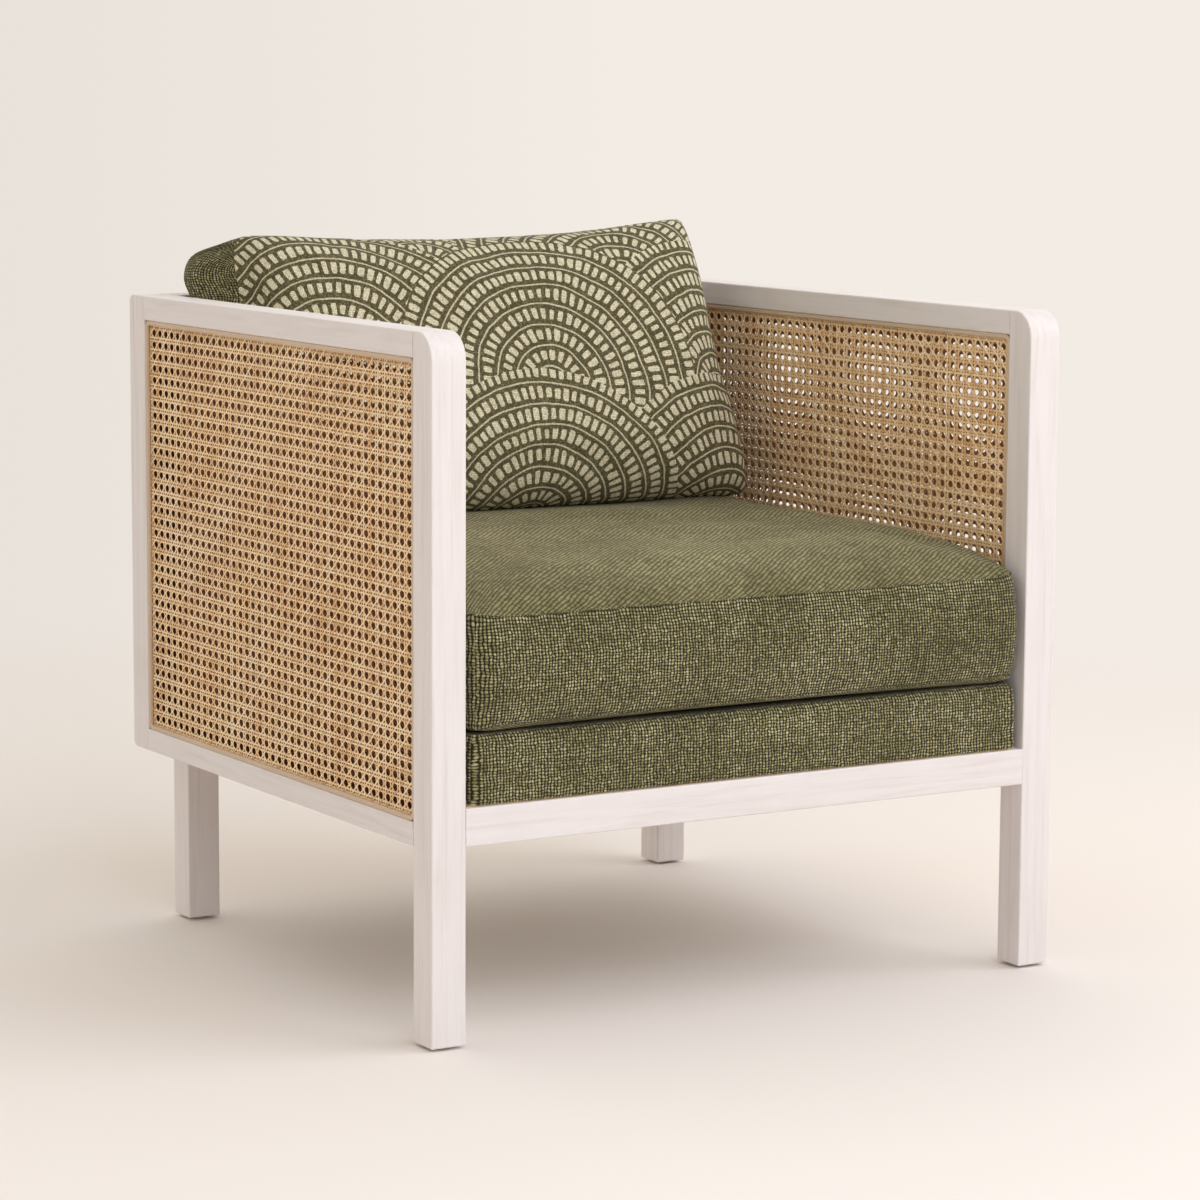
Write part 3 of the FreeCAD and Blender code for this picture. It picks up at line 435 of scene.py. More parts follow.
def ribbed_cloth(name):
    """The flat panels' cloth: narrow ribs that run slantwise, with thin grooves painted dark as
    shade.
    """
    shader = Shader(name)
    place = shader.place()
    uv = shader.flat_map()
    u, v = wandering(shader, uv, 5 * MM, 0.5 * MM)
    leaning = v * v * RIB_TURN + RIB_LEAN
    rib, off_rib = shader.off_middle((u - v * leaning) * (1 / RIB_PITCH))
    pick, off_pick = shader.off_middle((u + v) * (1 / PICK_PITCH))
    edge = off_rib + off_pick * off_pick * 0.35
    height = shader.blend(shader.step(edge, 0.54, 0.14), 0.18, 1.0)
    tone = shader.random(rib, pick, 0.5)
    cloud = shader.noise(place, 9, 4, 0.6)
    worn = shader.noise(place, 70, 4, 0.7)
    mixed = tone * 0.32 + (cloud - 0.5) * 0.5 + worn * 0.45
    colour = shader.ramp(mixed, (0.14, 100, 94, 56), (0.36, 138, 130, 87),
                         (0.56, 164, 156, 111), (0.80, 202, 194, 149))
    # Painted shade: a little darker where the panel bends down to the front seam
    front_bend_shade = shader.step(shader.parts(uv)[1], *FRONT_BEND)
    colour = shader.colours(front_bend_shade * 0.25, colour, linear(60, 56, 30))
    return finish_olive(shader, uv, height, colour)


# Fans of dashes on the back pillow: a plain old scale pattern in a layout of its own. Each fan
# is (across, up, reach) in metres on the pillow's front, from its middle; later fans lie on top.
FANS = (
    (-0.330, 0.130, 0.230),
    (0.330, 0.110, 0.250),
    (-0.095, 0.105, 0.245),
    (0.150, 0.085, 0.205),
    (0.265, -0.050, 0.185),
    (-0.225, -0.025, 0.205),
    (0.030, -0.040, 0.190),
    (0.255, -0.215, 0.185),
    (-0.240, -0.195, 0.195),
    (0.005, -0.205, 0.185),
)
RING_PITCH = 24.5 * MM
DASH_PITCH = 10.5 * MM
FEWEST_DASHES = 5
# How far the drawing sways from its true place
PRINT_SWAY = 7 * MM
# In shares of the ring's pitch: where the dashes and the line lie, and how far they reach
DASH_PLACE = 0.42
DASH_HALF_LENGTH = 0.27
LINE_PLACE = 0.90
LINE_HALF_WIDTH = 0.030
# In shares of the pitch from dash to dash
DASH_HALF_WIDTH = 0.31


def printed_cloth(name):
    """Olive cloth with cream dashes in overlapping fans, printed a little unevenly."""
    shader = Shader(name)
    uv = shader.flat_map()
    u, v, _ = shader.parts(uv)
    sway = shader.noise(uv, 22, 2) - 0.5
    sway_too = shader.noise(shader.stretched(uv, (1, 1, 1), (3.1, 1.7, 0)), 22, 2) - 0.5
    drawn_u, drawn_v = u + sway * PRINT_SWAY, v + sway_too * PRINT_SWAY
    distance, angle, fan = 0.5, 0.0, 0.0
    for number, (across, up, reach) in enumerate(FANS, 1):
        from_u, from_v = drawn_u - across, drawn_v - up
        away = shader.math("SQRT", from_u * from_u + from_v * from_v)
        inside = shader.math("LESS_THAN", away, reach)
        distance = shader.blend(inside, distance, away)
        angle = shader.blend(inside, angle, shader.math("ARCTAN2", from_u, from_v))
        fan = shader.blend(inside, fan, number)
    rings = distance * (1 / RING_PITCH)
    ring, out = shader.math("FLOOR", rings), shader.math("FRACT", rings)
    count = shader.math("ROUND", (ring + DASH_PLACE) * (TAU * RING_PITCH / DASH_PITCH))
    count = shader.math("MAXIMUM", count, FEWEST_DASHES)
    dash, beside = shader.off_middle(angle * (1 / TAU) * count)
    ragged = shader.noise(uv, 320, 2, 0.6) - 0.5
    half_width = (shader.random(dash, ring, fan) - 0.5) * 0.12 + DASH_HALF_WIDTH
    half_length = (shader.random(ring, dash, fan + 0.5) - 0.5) * 0.09 + DASH_HALF_LENGTH
    off_side, off_end = beside / half_width, abs(out - DASH_PLACE) / half_length
    rounded = (off_side**5.0 + off_end**5.0) ** 0.2 + ragged * 0.45
    # No dash at a fan's very middle
    block = shader.step(rounded, 1.06, 0.90) * shader.math("GREATER_THAN", rings, 0.55)
    off_line = abs(out - LINE_PLACE) + ragged * 0.03
    line = shader.step(off_line, LINE_HALF_WIDTH + 0.02, LINE_HALF_WIDTH) * 0.85
    height, tone, _ = weave(shader, u, v, PRINT_WEAVE, PRINT_WEAVE, 2, 1)
    worn = shader.step(shader.noise(uv, 700, 3, 0.7), 0.60, 0.72)
    ink = shader.math("MAXIMUM", block, line) * shader.blend(worn, 1.0, 0.55)
    ground = shader.ramp(tone, (0.0, 76, 70, 43), (0.6, 97, 89, 60), (1.0, 126, 118, 83))
    cream = shader.ramp(tone, (0.0, 204, 194, 160), (0.5, 228, 218, 186), (1.0, 241, 233, 205))
    colour = shader.colours(ink, ground, cream)
    # Painted shade in the gaps between the yarns
    gap_shade = shader.step(height, 0.45, 0.05) * 0.55
    colour = shader.colours(gap_shade, colour, linear(52, 47, 28))
    fibre = shader.noise(uv, 1500, 2, 0.6)
    relief = shader.bump(height + fibre * 0.35 + ink * 0.5, 0.5 * MM, 0.6)
    return shader.finish(colour, 0.9, relief, Sheen_Weight=0.05, Sheen_Roughness=0.7,
                         Specular_IOR_Level=0.12)


def ribbed_tape(name, ways, pitch, speck_scale, dark, light, roughness, depth):
    """Narrow woven tape, with fine ribs that follow each other along ways."""
    shader = Shader(name)
    place = shader.place()
    ribs = shader.math("SINE", shader.dot(place, ways) * (TAU / pitch))
    specks = shader.noise(place, speck_scale, 2, 0.6)
    colour = shader.ramp(specks, (0.3, *dark), (0.7, *light))
    return shader.finish(colour, roughness, shader.bump(ribs, depth, 0.5))


def lining_cloth(name):
    """Thin felted cloth of its natural greyish beige."""
    shader = Shader(name)
    place = shader.place()
    fluff = shader.noise(place, 420, 4, 0.7)
    dots = shader.noise(place, 90, 2)
    colour = shader.ramp(fluff, (0.3, 150, 139, 122), (0.7, 180, 169, 152))
    return shader.finish(colour, 0.95, shader.bump(fluff * 0.5 + dots, 0.3 * MM, 0.5))


# Materials of the small parts
def brushed_metal(name, colour):
    shader = Shader(name)
    scratch = shader.noise(shader.stretched(shader.place(), (1, 1, 0.1)), 900, 3, 0.6)
    tone = shader.colours(scratch * 0.4, colour, linear(120, 118, 112))
    relief = shader.bump(scratch, 0.1 * MM, 0.3)
    return shader.finish(tone, shader.blend(scratch, 0.28, 0.5), relief, Metallic=1.0)


def moulded_plastic(name, colour):
    shader = Shader(name)
    place = shader.place()
    grain = shader.noise(place, 700, 3, 0.6)
    scuff = shader.noise(place, 60, 4, 0.6)
    tone = shader.colours(shader.step(scuff, 0.5, 0.7) * 0.4, colour, linear(150, 140, 126))
    return shader.finish(tone, shader.blend(scuff, 0.45, 0.65), shader.bump(grain, 0.1 * MM, 0.4))


OLIVE = dotted_cloth("olive_cloth")
OLIVE_TOP = ribbed_cloth("olive_cloth_flat")
PRINTED = printed_cloth("printed_cloth")
CANE = cane("cane", (218, 174, 124), (247, 212, 164), (254, 230, 190))
REED = cane("reed", (206, 182, 156), (224, 204, 182), (236, 219, 200))
WOOD = {along: whitewashed_wood(along) for along in "xyz"}
BARE = {along: bare_wood(along) for along in "xy"}
STEEL = brushed_metal("zinced_steel", linear(196, 198, 200))
NYLON = moulded_plastic("nylon", linear(186, 176, 160))
WEBBING = ribbed_tape("strap_webbing", (1, 1, 0), 2.2 * MM, 500, (44, 40, 34), (92, 84, 70),
                      0.9, 0.3 * MM)
LINING = lining_cloth("lining_cloth")
ZIP = ribbed_tape("zip_tape", (1, 0, 0), 0.9 * MM, 600, (72, 68, 42), (104, 98, 66),
                  0.8, 0.15 * MM)

# Each material, and words in the names of the nodes that have it. Where two rows fit, the
# later one counts.
NODE_MATERIALS = (
    (WOOD["z"], "front_post", "rear_post", "rear_leg"),
    (WOOD["y"], "arm_rail", "left_lower_rail", "right_lower_rail"),
    (WOOD["x"], "front_rail", "back_top_rail", "back_lower_rail"),
    (BARE["y"], "seat_bearer", "deck_left", "deck_right"),
    (BARE["x"], "deck_front", "deck_rear", "corner_blocks", "dowels"),
    (REED, "spline"),
    (STEEL, "screws", "bolts"),
    (NYLON, "glides"),
    (WEBBING, "straps"),
)


def dress_nodes():
    """Gives each CAD node that stays its material."""
    for name, node in NODES.items():
        for material, *words in NODE_MATERIALS:
            if any(word in name for word in words):
                node.data.materials.clear()
                node.data.materials.append(material)


# Pieces
def new_mesh(name, points, faces, materials):
    mesh = bpy.data.meshes.new(name)
    mesh.from_pydata([tuple(p) for p in points], [], [tuple(int(i) for i in f) for f in faces])
    for material in materials:
        mesh.materials.append(material)
    return mesh


def add_piece(name, points, faces, materials, body, uvs=None, kinds=None, smooth=True):
    """A mesh piece that rides on a body. uvs has one pair for each corner of each face, and
    kinds the number of each face's material."""
    mesh = new_mesh(name, points, faces, materials)
    if uvs is not None:
        layer = mesh.uv_layers.new(name="cloth")
        layer.data.foreach_set("uv", np.asarray(uvs, np.float32).ravel())
    if kinds is not None:
        mesh.polygons.foreach_set("material_index", np.asarray(kinds, np.int32))
    mesh.polygons.foreach_set("use_smooth", [smooth] * len(mesh.polygons))
    mesh.update()
    mesh.validate()
    piece = add_object(name, mesh)
    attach(piece, body)
    return piece


def unit(rows):
    """Vectors of the same directions, each 1 long."""
    return rows / np.linalg.norm(rows, axis=-1, keepdims=True)


def travelled(steps):
    """How far each point lies along a line, from the steps between its points."""
    return np.concatenate([[0], np.cumsum(np.linalg.norm(steps, axis=1))])


# Cane webbing: pairs of upright and level strands, crossed by two sets of slanting ones
STRAND_WIDTH = 2.1 * MM
SLANT_WIDTH = 2.2 * MM
STRAND_THICKNESS = 0.5 * MM
# How wide a strand's outer face is, as a share of its back
STRAND_FACE = 0.68
# How far each strand of a pair lies from the pair's middle
UPRIGHT_OFFSET = 2.3 * MM
LEVEL_OFFSET = 1.75 * MM
OVER_AND_UNDER = 0.28 * MM
# How far neighbours in a set, and the two slanting sets, lie out of the sheet's middle
NEIGHBOUR_LIFT = 0.12 * MM
SLANT_LIFT = 0.3 * MM
SHEET_MIDDLE = 1.0 * MM
CANE_EDGE = 0.5 * MM
CLEAR_EDGE = 1 * MM
# A slanting strand shorter than this, in diagonals of one hole, is left out
SHORTEST_SLANT = 0.2
CANE_PITCH_ACROSS = 15.0 * MM
CANE_PITCH_UP = 13.0 * MM
# Each sheet's name, the chair's directions of its across and out, how many more holes it has
# across and up, how far its pattern is shifted in shares of a hole, how much wider its strands
# are, and how dark the painted shade on its back is
LEFT, RIGHT, FRONT, BACK, UP = (-1, 0, 0), (1, 0, 0), (0, -1, 0), (0, 1, 0), (0, 0, 1)
CANE_SHEETS = (
    ("left_outer_cane", FRONT, LEFT, (0, 0), (0.0, 0.0), 1.0, 1.0),
    ("left_inner_cane", FRONT, RIGHT, (-1, 0), (-0.41, -0.075), 1.4, 1.0),
    ("right_outer_cane", BACK, RIGHT, (3, 2), (0.0, 0.361), 1.5, 0.7),
    ("right_inner_cane", BACK, LEFT, (0, 0), (0.0, 0.0), 1.2, 0.7),
    ("back_outer_cane", LEFT, BACK, (1, 1), (0.0, 0.0), 1.0, 0.7),
    ("back_inner_cane", LEFT, FRONT, (0, 0), (0.0, 0.0), 1.0, 0.7),
)


class Strands:
    """Flat strands gathered into one mesh."""

    def __init__(self, chance):
        self.points, self.faces, self.tones, self.count = [], [], [], 0
        self.chance = chance

    def add(self, path, width):
        """A strand through the rows (across, up, out) of path."""
        ahead = unit(np.gradient(path[:, :2], axis=0))
        side = np.stack([-ahead[:, 1], ahead[:, 0], np.zeros(len(path))], 1) * width / 2
        out = np.array([0, 0, STRAND_THICKNESS / 2])
        rings = np.stack([path - side - out, path + side - out, path + side * STRAND_FACE + out,
                          path - side * STRAND_FACE + out], 1)
        index = self.count + 4 * np.arange(len(path) - 1)[:, None]
        for corner in range(4):
            after = (corner + 1) % 4
            self.faces.append(np.concatenate(
                [index + corner, index + after, index + 4 + after, index + 4 + corner], 1))
        first, last = self.count, self.count + 4 * (len(path) - 1)
        self.faces.append(np.array([[first + 3, first + 2, first + 1, first]]))
        self.faces.append(np.array([[last, last + 1, last + 2, last + 3]]))
        self.points.append(rings.reshape(-1, 3))
        self.tones.append(np.full(4 * len(path), self.chance.random()))
        self.count += 4 * len(path)

    def add_straight(self, start, end, stops, width, out):
        """A strand from start to end that rises and dips by turns at its stops, which are
        shares of the way."""
        stops = np.concatenate([[0], [s for s in stops if 0.001 < s < 0.999], [1]])
        start, end = np.asarray(start, float), np.asarray(end, float)
        flat = start + stops[:, None] * (end - start)
        wave = np.where(np.arange(len(stops)) % 2, 1, -1) * OVER_AND_UNDER
        self.add(np.column_stack([flat, wave + out]), width)


def clipped(point, way, width, height):
    """Where the line through a point, along a way, enters and leaves the sheet."""
    low, high = -math.inf, math.inf
    for place, step, limit in zip(point, way, (width, height)):
        ends = sorted(((0 - place) / step, (limit - place) / step))
        low, high = max(low, ends[0]), min(high, ends[1])
    return low, high


def pair_places(count, pitch, shift, offset, end):
    """Where the strands of one set lie, from 0 to end: two beside each line between holes."""
    places = (
        (number + 0.5 + shift) * pitch + way * offset
        for number in range(-1, count + 1)
        for way in (-1, 1)
    )
    return sorted(place for place in places if CLEAR_EDGE < place < end - CLEAR_EDGE)


def woven_sheet(width, height, columns, rows, shift, thick, seed):
    """Strands of a sheet of cane webbing that lies flat from (0, 0). shift moves the pattern
    across and up, by shares of a hole, and thick widens the strands."""
    across, up = width / columns, height / rows
    strands = Strands(np.random.default_rng(seed))
    uprights = pair_places(columns, across, shift[0], UPRIGHT_OFFSET, width)
    levels = pair_places(rows, up, shift[1], LEVEL_OFFSET, height)
    for number, x in enumerate(uprights):
        strands.add_straight((x, 0), (x, height), np.array(levels) / height,
                             STRAND_WIDTH * thick, NEIGHBOUR_LIFT * (1 if number % 2 else -1))
    for number, y in enumerate(levels):
        strands.add_straight((0, y), (width, y), np.array(uprights) / width,
                             STRAND_WIDTH * thick, NEIGHBOUR_LIFT * (-1 if number % 2 else 1))
    # Slanting strands pass through the middles between neighbouring holes
    for slant in (1, -1):
        way = np.array([across, slant * up])
        for number in range(-columns - rows, columns + rows + 1):
            point = ((number + 0.5 + shift[0]) * across, shift[1] * up)
            low, high = clipped(point, way, width, height)
            if high - low < SHORTEST_SLANT:
                continue
            middles = np.arange(math.ceil(low * 2), math.floor(high * 2) + 1) / 2
            strands.add_straight(point + low * way, point + high * way,
                                 (middles - low) / (high - low), SLANT_WIDTH * thick,
                                 SLANT_LIFT * slant)
    return strands


def add_cane():
    """One woven sheet on each side of each panel, in the place of its plain CAD sheet."""
    for seed, (name, across, out, finer, shift, thick, dark) in enumerate(CANE_SHEETS):
        low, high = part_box(name)
        size = high - low
        width = (size.x if across[0] else size.y) - 2 * CANE_EDGE
        height = size.z - 2 * CANE_EDGE
        corner = Vector(
            low[axis] if across[axis] + UP[axis] + out[axis] > 0 else high[axis]
            for axis in range(3)
        )
        corner += (Vector(across) + Vector(UP)) * CANE_EDGE
        columns = round(width / CANE_PITCH_ACROSS) + finer[0]
        rows = round(height / CANE_PITCH_UP) + finer[1]
        strands = woven_sheet(width, height, columns, rows, shift, thick, seed)
        flat = np.concatenate(strands.points) + [0, 0, SHEET_MIDDLE]
        faces = np.concatenate(strands.faces)
        if np.dot(np.cross(across, UP), out) < 0:
            faces = faces[:, ::-1]
        points = np.asarray(corner) + flat @ np.array([across, UP, out])
        piece = add_piece(name + "_webbing", points, faces, [CANE], "frame", smooth=False)
        # Painted shade: the two back corners of each strand's ring are darkened, so its sides
        # grade from dark to light
        painted_back_shades = np.tile([dark, dark, 0, 0], len(points) // 4)
        for kind, values in (("tone", np.concatenate(strands.tones)), ("back", painted_back_shades)):
            layer = piece.data.attributes.new(kind, "FLOAT", "POINT")
            layer.data.foreach_set("value", values.astype(np.float32))
        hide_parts(name)


# Soft pieces
CLOTH_SETTINGS = {
    "quality": 5,
    "mass": 0.3,
    "tension_stiffness": 15.0,
    "compression_stiffness": 15.0,
    "shear_stiffness": 7.5,
    "bending_stiffness": 0.5,
    "use_pressure": True,
}
CLOTH_FRAMES = 20
WAVE_COUNT = 7


def coordinates(piece):
    found = np.empty(len(piece.data.vertices) * 3)
    piece.data.vertices.foreach_get("co", found)
    return found.reshape(-1, 3)


def set_coordinates(piece, points):
    piece.data.vertices.foreach_set("co", np.asarray(points).ravel())
    piece.data.update()


def inflate(piece, pressure, cap, pinned, hold, shrink=0.0):
    """Blows a closed piece up as cloth whose pinned points are held by the share hold, and
    keeps each point within cap of where it was."""
    rest = coordinates(piece)
    modifier = piece.modifiers.new("cloth", "CLOTH")
    cloth = modifier.settings
    for name, value in CLOTH_SETTINGS.items():
        setattr(cloth, name, value)
    cloth.uniform_pressure_force = pressure
    cloth.shrink_min = shrink
    cloth.effector_weights.gravity = 0
    group = piece.vertex_groups.new(name="pins")
    group.add([int(index) for index in pinned], hold, "REPLACE")
    cloth.vertex_group_mass = "pins"
    modifier.point_cache.frame_start = 1
    modifier.point_cache.frame_end = CLOTH_FRAMES
    scene = bpy.context.scene
    for number in range(1, CLOTH_FRAMES + 1):
        scene.frame_set(number)
    blown = piece.evaluated_get(bpy.context.evaluated_depsgraph_get())
    moved = coordinates(blown) - rest
    length = np.linalg.norm(moved, axis=1)
    moved *= (np.tanh(length / cap) * cap / np.maximum(length, 1e-9))[:, None]
    piece.modifiers.remove(modifier)
    piece.vertex_groups.clear()
    scene.frame_set(1)
    set_coordinates(piece, rest + moved)


def add_subdivision(piece):
    modifier = piece.modifiers.new("finer", "SUBSURF")
    modifier.levels = 1
    modifier.render_levels = 1


def smooth_noise(points, scale, seed):
    """Soft random waves of up to about 1 either way, made of a few sines."""
    chance = np.random.default_rng(seed)
    total = np.zeros(len(points))
    for _ in range(WAVE_COUNT):
        direction = unit(chance.normal(size=3))
        total += np.sin(points @ direction * TAU / scale + chance.random() * TAU) / WAVE_COUNT
    return total * 2


def waves(points, rows):
    """Soft uneven rises. Each row is a wave's length, a seed and a height."""
    return sum(smooth_noise(points, scale, seed) * height for scale, seed, height in rows)


def grid_faces(columns, rows, start=0):
    """Quads of a grid whose points run across first."""
    index = start + np.arange(rows * columns).reshape(rows, columns)
    corners = [index[:-1, :-1], index[:-1, 1:], index[1:, 1:], index[1:, :-1]]
    return np.stack(corners, -1).reshape(-1, 4)


def border(columns, rows):
    """Indices round the edge of a grid, anticlockwise from its low corner."""
    index = np.arange(rows * columns).reshape(rows, columns)
    return np.concatenate([index[0, :-1], index[:-1, -1], index[-1, :0:-1], index[:0:-1, 0]])


def laid_flat(points, rows, columns):
    """For each point of a grid, how far it lies along its row and up its column."""
    grid = points.reshape(rows, columns, 3)
    found = []
    for axis in (1, 0):
        steps = np.linalg.norm(np.diff(grid, axis=axis), axis=2)
        travel = np.concatenate([np.zeros_like(steps.take([0], axis)), steps.cumsum(axis)], axis)
        found.append((travel - travel.take([travel.shape[axis] // 2], axis)).ravel())
    return np.stack(found, 1)


def spaced(length, end, step, end_count):
    """Places from 0 to length: end_count finer steps in each end, and even ones between."""
    count = max(2, round((length - 2 * end) / step))
    first = np.linspace(0, end, end_count + 1)[:-1]
    middle = np.linspace(end, length - end, count + 1)[:-1]
    return np.concatenate([first, middle, np.linspace(length - end, length, end_count + 1)])


def rounded_grid(low, high, radius, step, end_count):
    """A grid of points over a rectangle whose corners are rounded."""
    xs = spaced(high[0] - low[0], radius, step, end_count) + low[0]
    ys = spaced(high[1] - low[1], radius, step, end_count) + low[1]
    x, y = np.meshgrid(xs, ys)
    for end_x, way_x in ((low[0], -1), (high[0], 1)):
        for end_y, way_y in ((low[1], -1), (high[1], 1)):
            corner_x, corner_y = end_x - way_x * radius, end_y - way_y * radius
            u = (x - corner_x) * way_x / radius
            v = (y - corner_y) * way_y / radius
            inside = (u > 1e-6) & (v > 1e-6)
            share = np.ones_like(x)
            np.divide(np.maximum(u, v), np.hypot(u, v), out=share, where=inside)
            x = np.where(inside, corner_x + way_x * radius * u * share, x)
            y = np.where(inside, corner_y + way_y * radius * v * share, y)
    return x, y


def rise_share(distance, reach):
    """How far a cushion has risen at a distance from its seam: steep first, then flat."""
    left = 1 - np.clip(distance / reach, 0, 1)
    return (1 - left**2.6) ** (0.36 + 0.25 * left**8)


def levels_between(low, high, *rows):
    """Heights and swells of a cushion's band. Each row is a share of the height and a swell
    in millimetres."""
    return [(low + share * (high - low), swell * MM) for share, swell in rows]


def box_form(low, high, radius, levels, crown, base, step, front_swell=0.0, front_reach=None):
    """A box cushion: a top and a bottom grid joined by rings of the given (height, swell).

    crown and base are (rise, reach) of the top and the bottom beyond the last and first ring,
    and front_reach is the crown's reach from the front where it isn't the same. The front
    swells further by front_swell. Gives points, faces, the uvs of each face's
    corners, a kind for each face (0 flat, 1 band) and the numbers of the seams' points."""
    x, y = rounded_grid(low, high, radius, step, 4)
    rows, columns = x.shape
    near_x = np.minimum(x - low[0], high[0] - x)
    near_front, near_back = y - low[1], high[1] - y
    around = border(columns, rows)
    size = rows * columns

    def panel(z, rise, reach, from_front):
        lift = rise_share(near_front, from_front) * rise_share(near_back, reach)
        lift = rise * (rise_share(near_x, reach) * lift) ** 0.85
        return np.stack([x.ravel(), y.ravel(), (z + lift).ravel()], 1)

    top = panel(levels[-1][0], *crown, front_reach or crown[1])
    bottom = panel(levels[0][0], -base[0], base[1], base[1])
    points = [top, bottom]
    faces = [grid_faces(columns, rows), grid_faces(columns, rows, size)[:, ::-1]]
    top_map, bottom_map = (laid_flat(part, rows, columns) for part in points)
    uvs = [top_map[faces[0]].reshape(-1, 2), bottom_map[faces[1] - size].reshape(-1, 2)]
    edge = top[around][:, :2]
    along = np.roll(edge, -1, 0) - edge
    normal = unit(np.stack([along[:, 1], -along[:, 0]], 1))
    normal = unit(normal + np.roll(normal, 1, 0))
    travel = travelled(along)
    corner_u = np.stack([travel[:-1], travel[1:], travel[1:], travel[:-1]], 1)
    most = max(swell for _, swell in levels)
    rings = [around + size]
    start = 2 * size
    for height, swell in levels[1:-1]:
        out = normal * swell
        out[:, 1] -= np.clip(-normal[:, 1], 0, 1) * front_swell * swell / most
        points.append(np.column_stack([edge + out, np.full(len(edge), height)]))
        rings.append(start + np.arange(len(edge)))
        start += len(edge)
    rings.append(around)
    for lower, upper, (low_v, _), (high_v, _) in zip(rings, rings[1:], levels, levels[1:]):
        faces.append(np.stack([lower, np.roll(lower, -1), np.roll(upper, -1), upper], 1))
        corner_v = np.tile([low_v, low_v, high_v, high_v], (len(edge), 1))
        uvs.append(np.stack([corner_u, corner_v], -1).reshape(-1, 2))
    kinds = np.concatenate([np.full(len(f), 0 if n < 2 else 1) for n, f in enumerate(faces)])
    seams = (around, around + size)
    return np.concatenate(points), np.concatenate(faces), np.concatenate(uvs), kinds, seams


# Seams
SEAM_RADIUS = 0.7 * MM
SEAM_SIDES = 8
SEAM_SIDE_WIDTH = 0.9 * MM
SEAM_SMOOTHINGS = 6


def add_seam(name, line, body):
    """The folded ridge of a seam: a thin roll of the same cloth round a closed line."""
    for _ in range(SEAM_SMOOTHINGS):
        line = (np.roll(line, 1, 0) + 2 * line + np.roll(line, -1, 0)) / 4
    ahead = unit(np.roll(line, -1, 0) - np.roll(line, 1, 0))
    side = unit(np.cross(ahead, [0.0, 0.0, 1.0]))
    up = np.cross(side, ahead)
    sides = np.arange(SEAM_SIDES)
    turns = TAU * sides[:, None] / SEAM_SIDES
    out = side[:, None] * np.cos(turns) + up[:, None] * np.sin(turns)
    points = (line[:, None] + out * SEAM_RADIUS).reshape(-1, 3)
    here = SEAM_SIDES * np.arange(len(line))[:, None] + sides
    after = np.roll(here, -1, 1)
    faces = np.stack([here, after, np.roll(after, -1, 0), np.roll(here, -1, 0)], -1).reshape(-1, 4)
    travel = travelled(np.roll(line, -1, 0) - line)
    u = np.stack([travel[:-1], travel[:-1], travel[1:], travel[1:]], 1)[:, None]
    v = (sides[:, None] + [0, 1, 1, 0]) * SEAM_SIDE_WIDTH
    uvs = np.stack(np.broadcast_arrays(u, v), -1)
    add_piece(name, points, faces, [OLIVE], body, uvs)


# Seat cushion
SEAT_LOW = Vector((-0.3305, -0.3435, 0.3090))
SEAT_HIGH = Vector((0.3305, 0.2975, 0.4605))
SEAT_CORNER = 22 * MM
SEAT_STEP = 9 * MM
# The farthest to each side that the blown-up cushion may reach
SEAT_REACH = 0.3346
SEAT_SEAMS = (0.3175, 0.4225)
SEAT_LEVELS = levels_between(
    *SEAT_SEAMS, (0, 0), (0.03, 0.9), (0.08, 1.7), (0.16, 2.5), (0.28, 3.1), (0.42, 3.5),
    (0.56, 3.5), (0.70, 3.1), (0.82, 2.4), (0.91, 1.6), (0.965, 0.8), (1, 0),
)
# How far from the seams the flat panels still rise: on top, on top from the front, below
SEAT_CROWN_REACH = 0.105
SEAT_FRONT_REACH = 0.19
SEAT_BASE_REACH = 0.03
SEAT_FRONT_SWELL = 7 * MM
SEAT_PRESSURE = 3.0
SEAT_PUFF = 4 * MM
SEAT_WAVES = ((0.16, 5, 1.4 * MM), (0.07, 9, 0.4 * MM))
SEAT_CORNER_SMOOTHINGS = 3


def add_seat_cushion():
    """A loose box cushion of foam, sewn from a top, a bottom and a band."""
    points, faces, uvs, kinds, seams = box_form(
        SEAT_LOW[:2], SEAT_HIGH[:2], SEAT_CORNER, SEAT_LEVELS,
        (SEAT_HIGH.z - SEAT_SEAMS[1], SEAT_CROWN_REACH),
        (SEAT_SEAMS[0] - SEAT_LOW.z, SEAT_BASE_REACH),
        SEAT_STEP, SEAT_FRONT_SWELL, SEAT_FRONT_REACH,
    )
    piece = add_piece("seat_cushion", points, faces, [OLIVE_TOP, OLIVE], "seat_cushion",
                      uvs, kinds)
    inflate(piece, SEAT_PRESSURE, SEAT_PUFF, np.concatenate(seams), 1.0)
    points = coordinates(piece)
    points[:, 2] = np.maximum(points[:, 2], SEAT_LOW.z)
    points[:, 0] = np.clip(points[:, 0], -SEAT_REACH, SEAT_REACH)
    upper = np.clip((points[:, 2] - SEAT_SEAMS[1] - 4 * MM) / (20 * MM), 0, 1)
    points[:, 2] += waves(points, SEAT_WAVES) * upper
    # The seams run smoothly round the corners
    for seam in seams:
        for _ in range(SEAT_CORNER_SMOOTHINGS):
            ring = points[seam]
            from_side = SEAT_REACH - np.abs(ring[:, 0])
            from_end = np.minimum(ring[:, 1] - SEAT_LOW.y, SEAT_HIGH.y - ring[:, 1])
            share = np.clip(2.5 - np.hypot(from_side, from_end) / (12 * MM), 0, 1)
            middle = (np.roll(ring, 1, 0) + np.roll(ring, -1, 0)) / 2
            points[seam] = ring + (middle - ring) * (0.5 * share)[:, None]
    set_coordinates(piece, points)
    add_subdivision(piece)
    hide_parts("seat_cushion_top_panel", "seat_cushion_boxing",
                "seat_cushion_bottom_panel", "seat_cushion_foam")
    for place, seam in zip(("top", "bottom"), seams):
        name = "seat_cushion_" + place + "_seam"
        add_seam(name, points[seam], "seat_cushion")


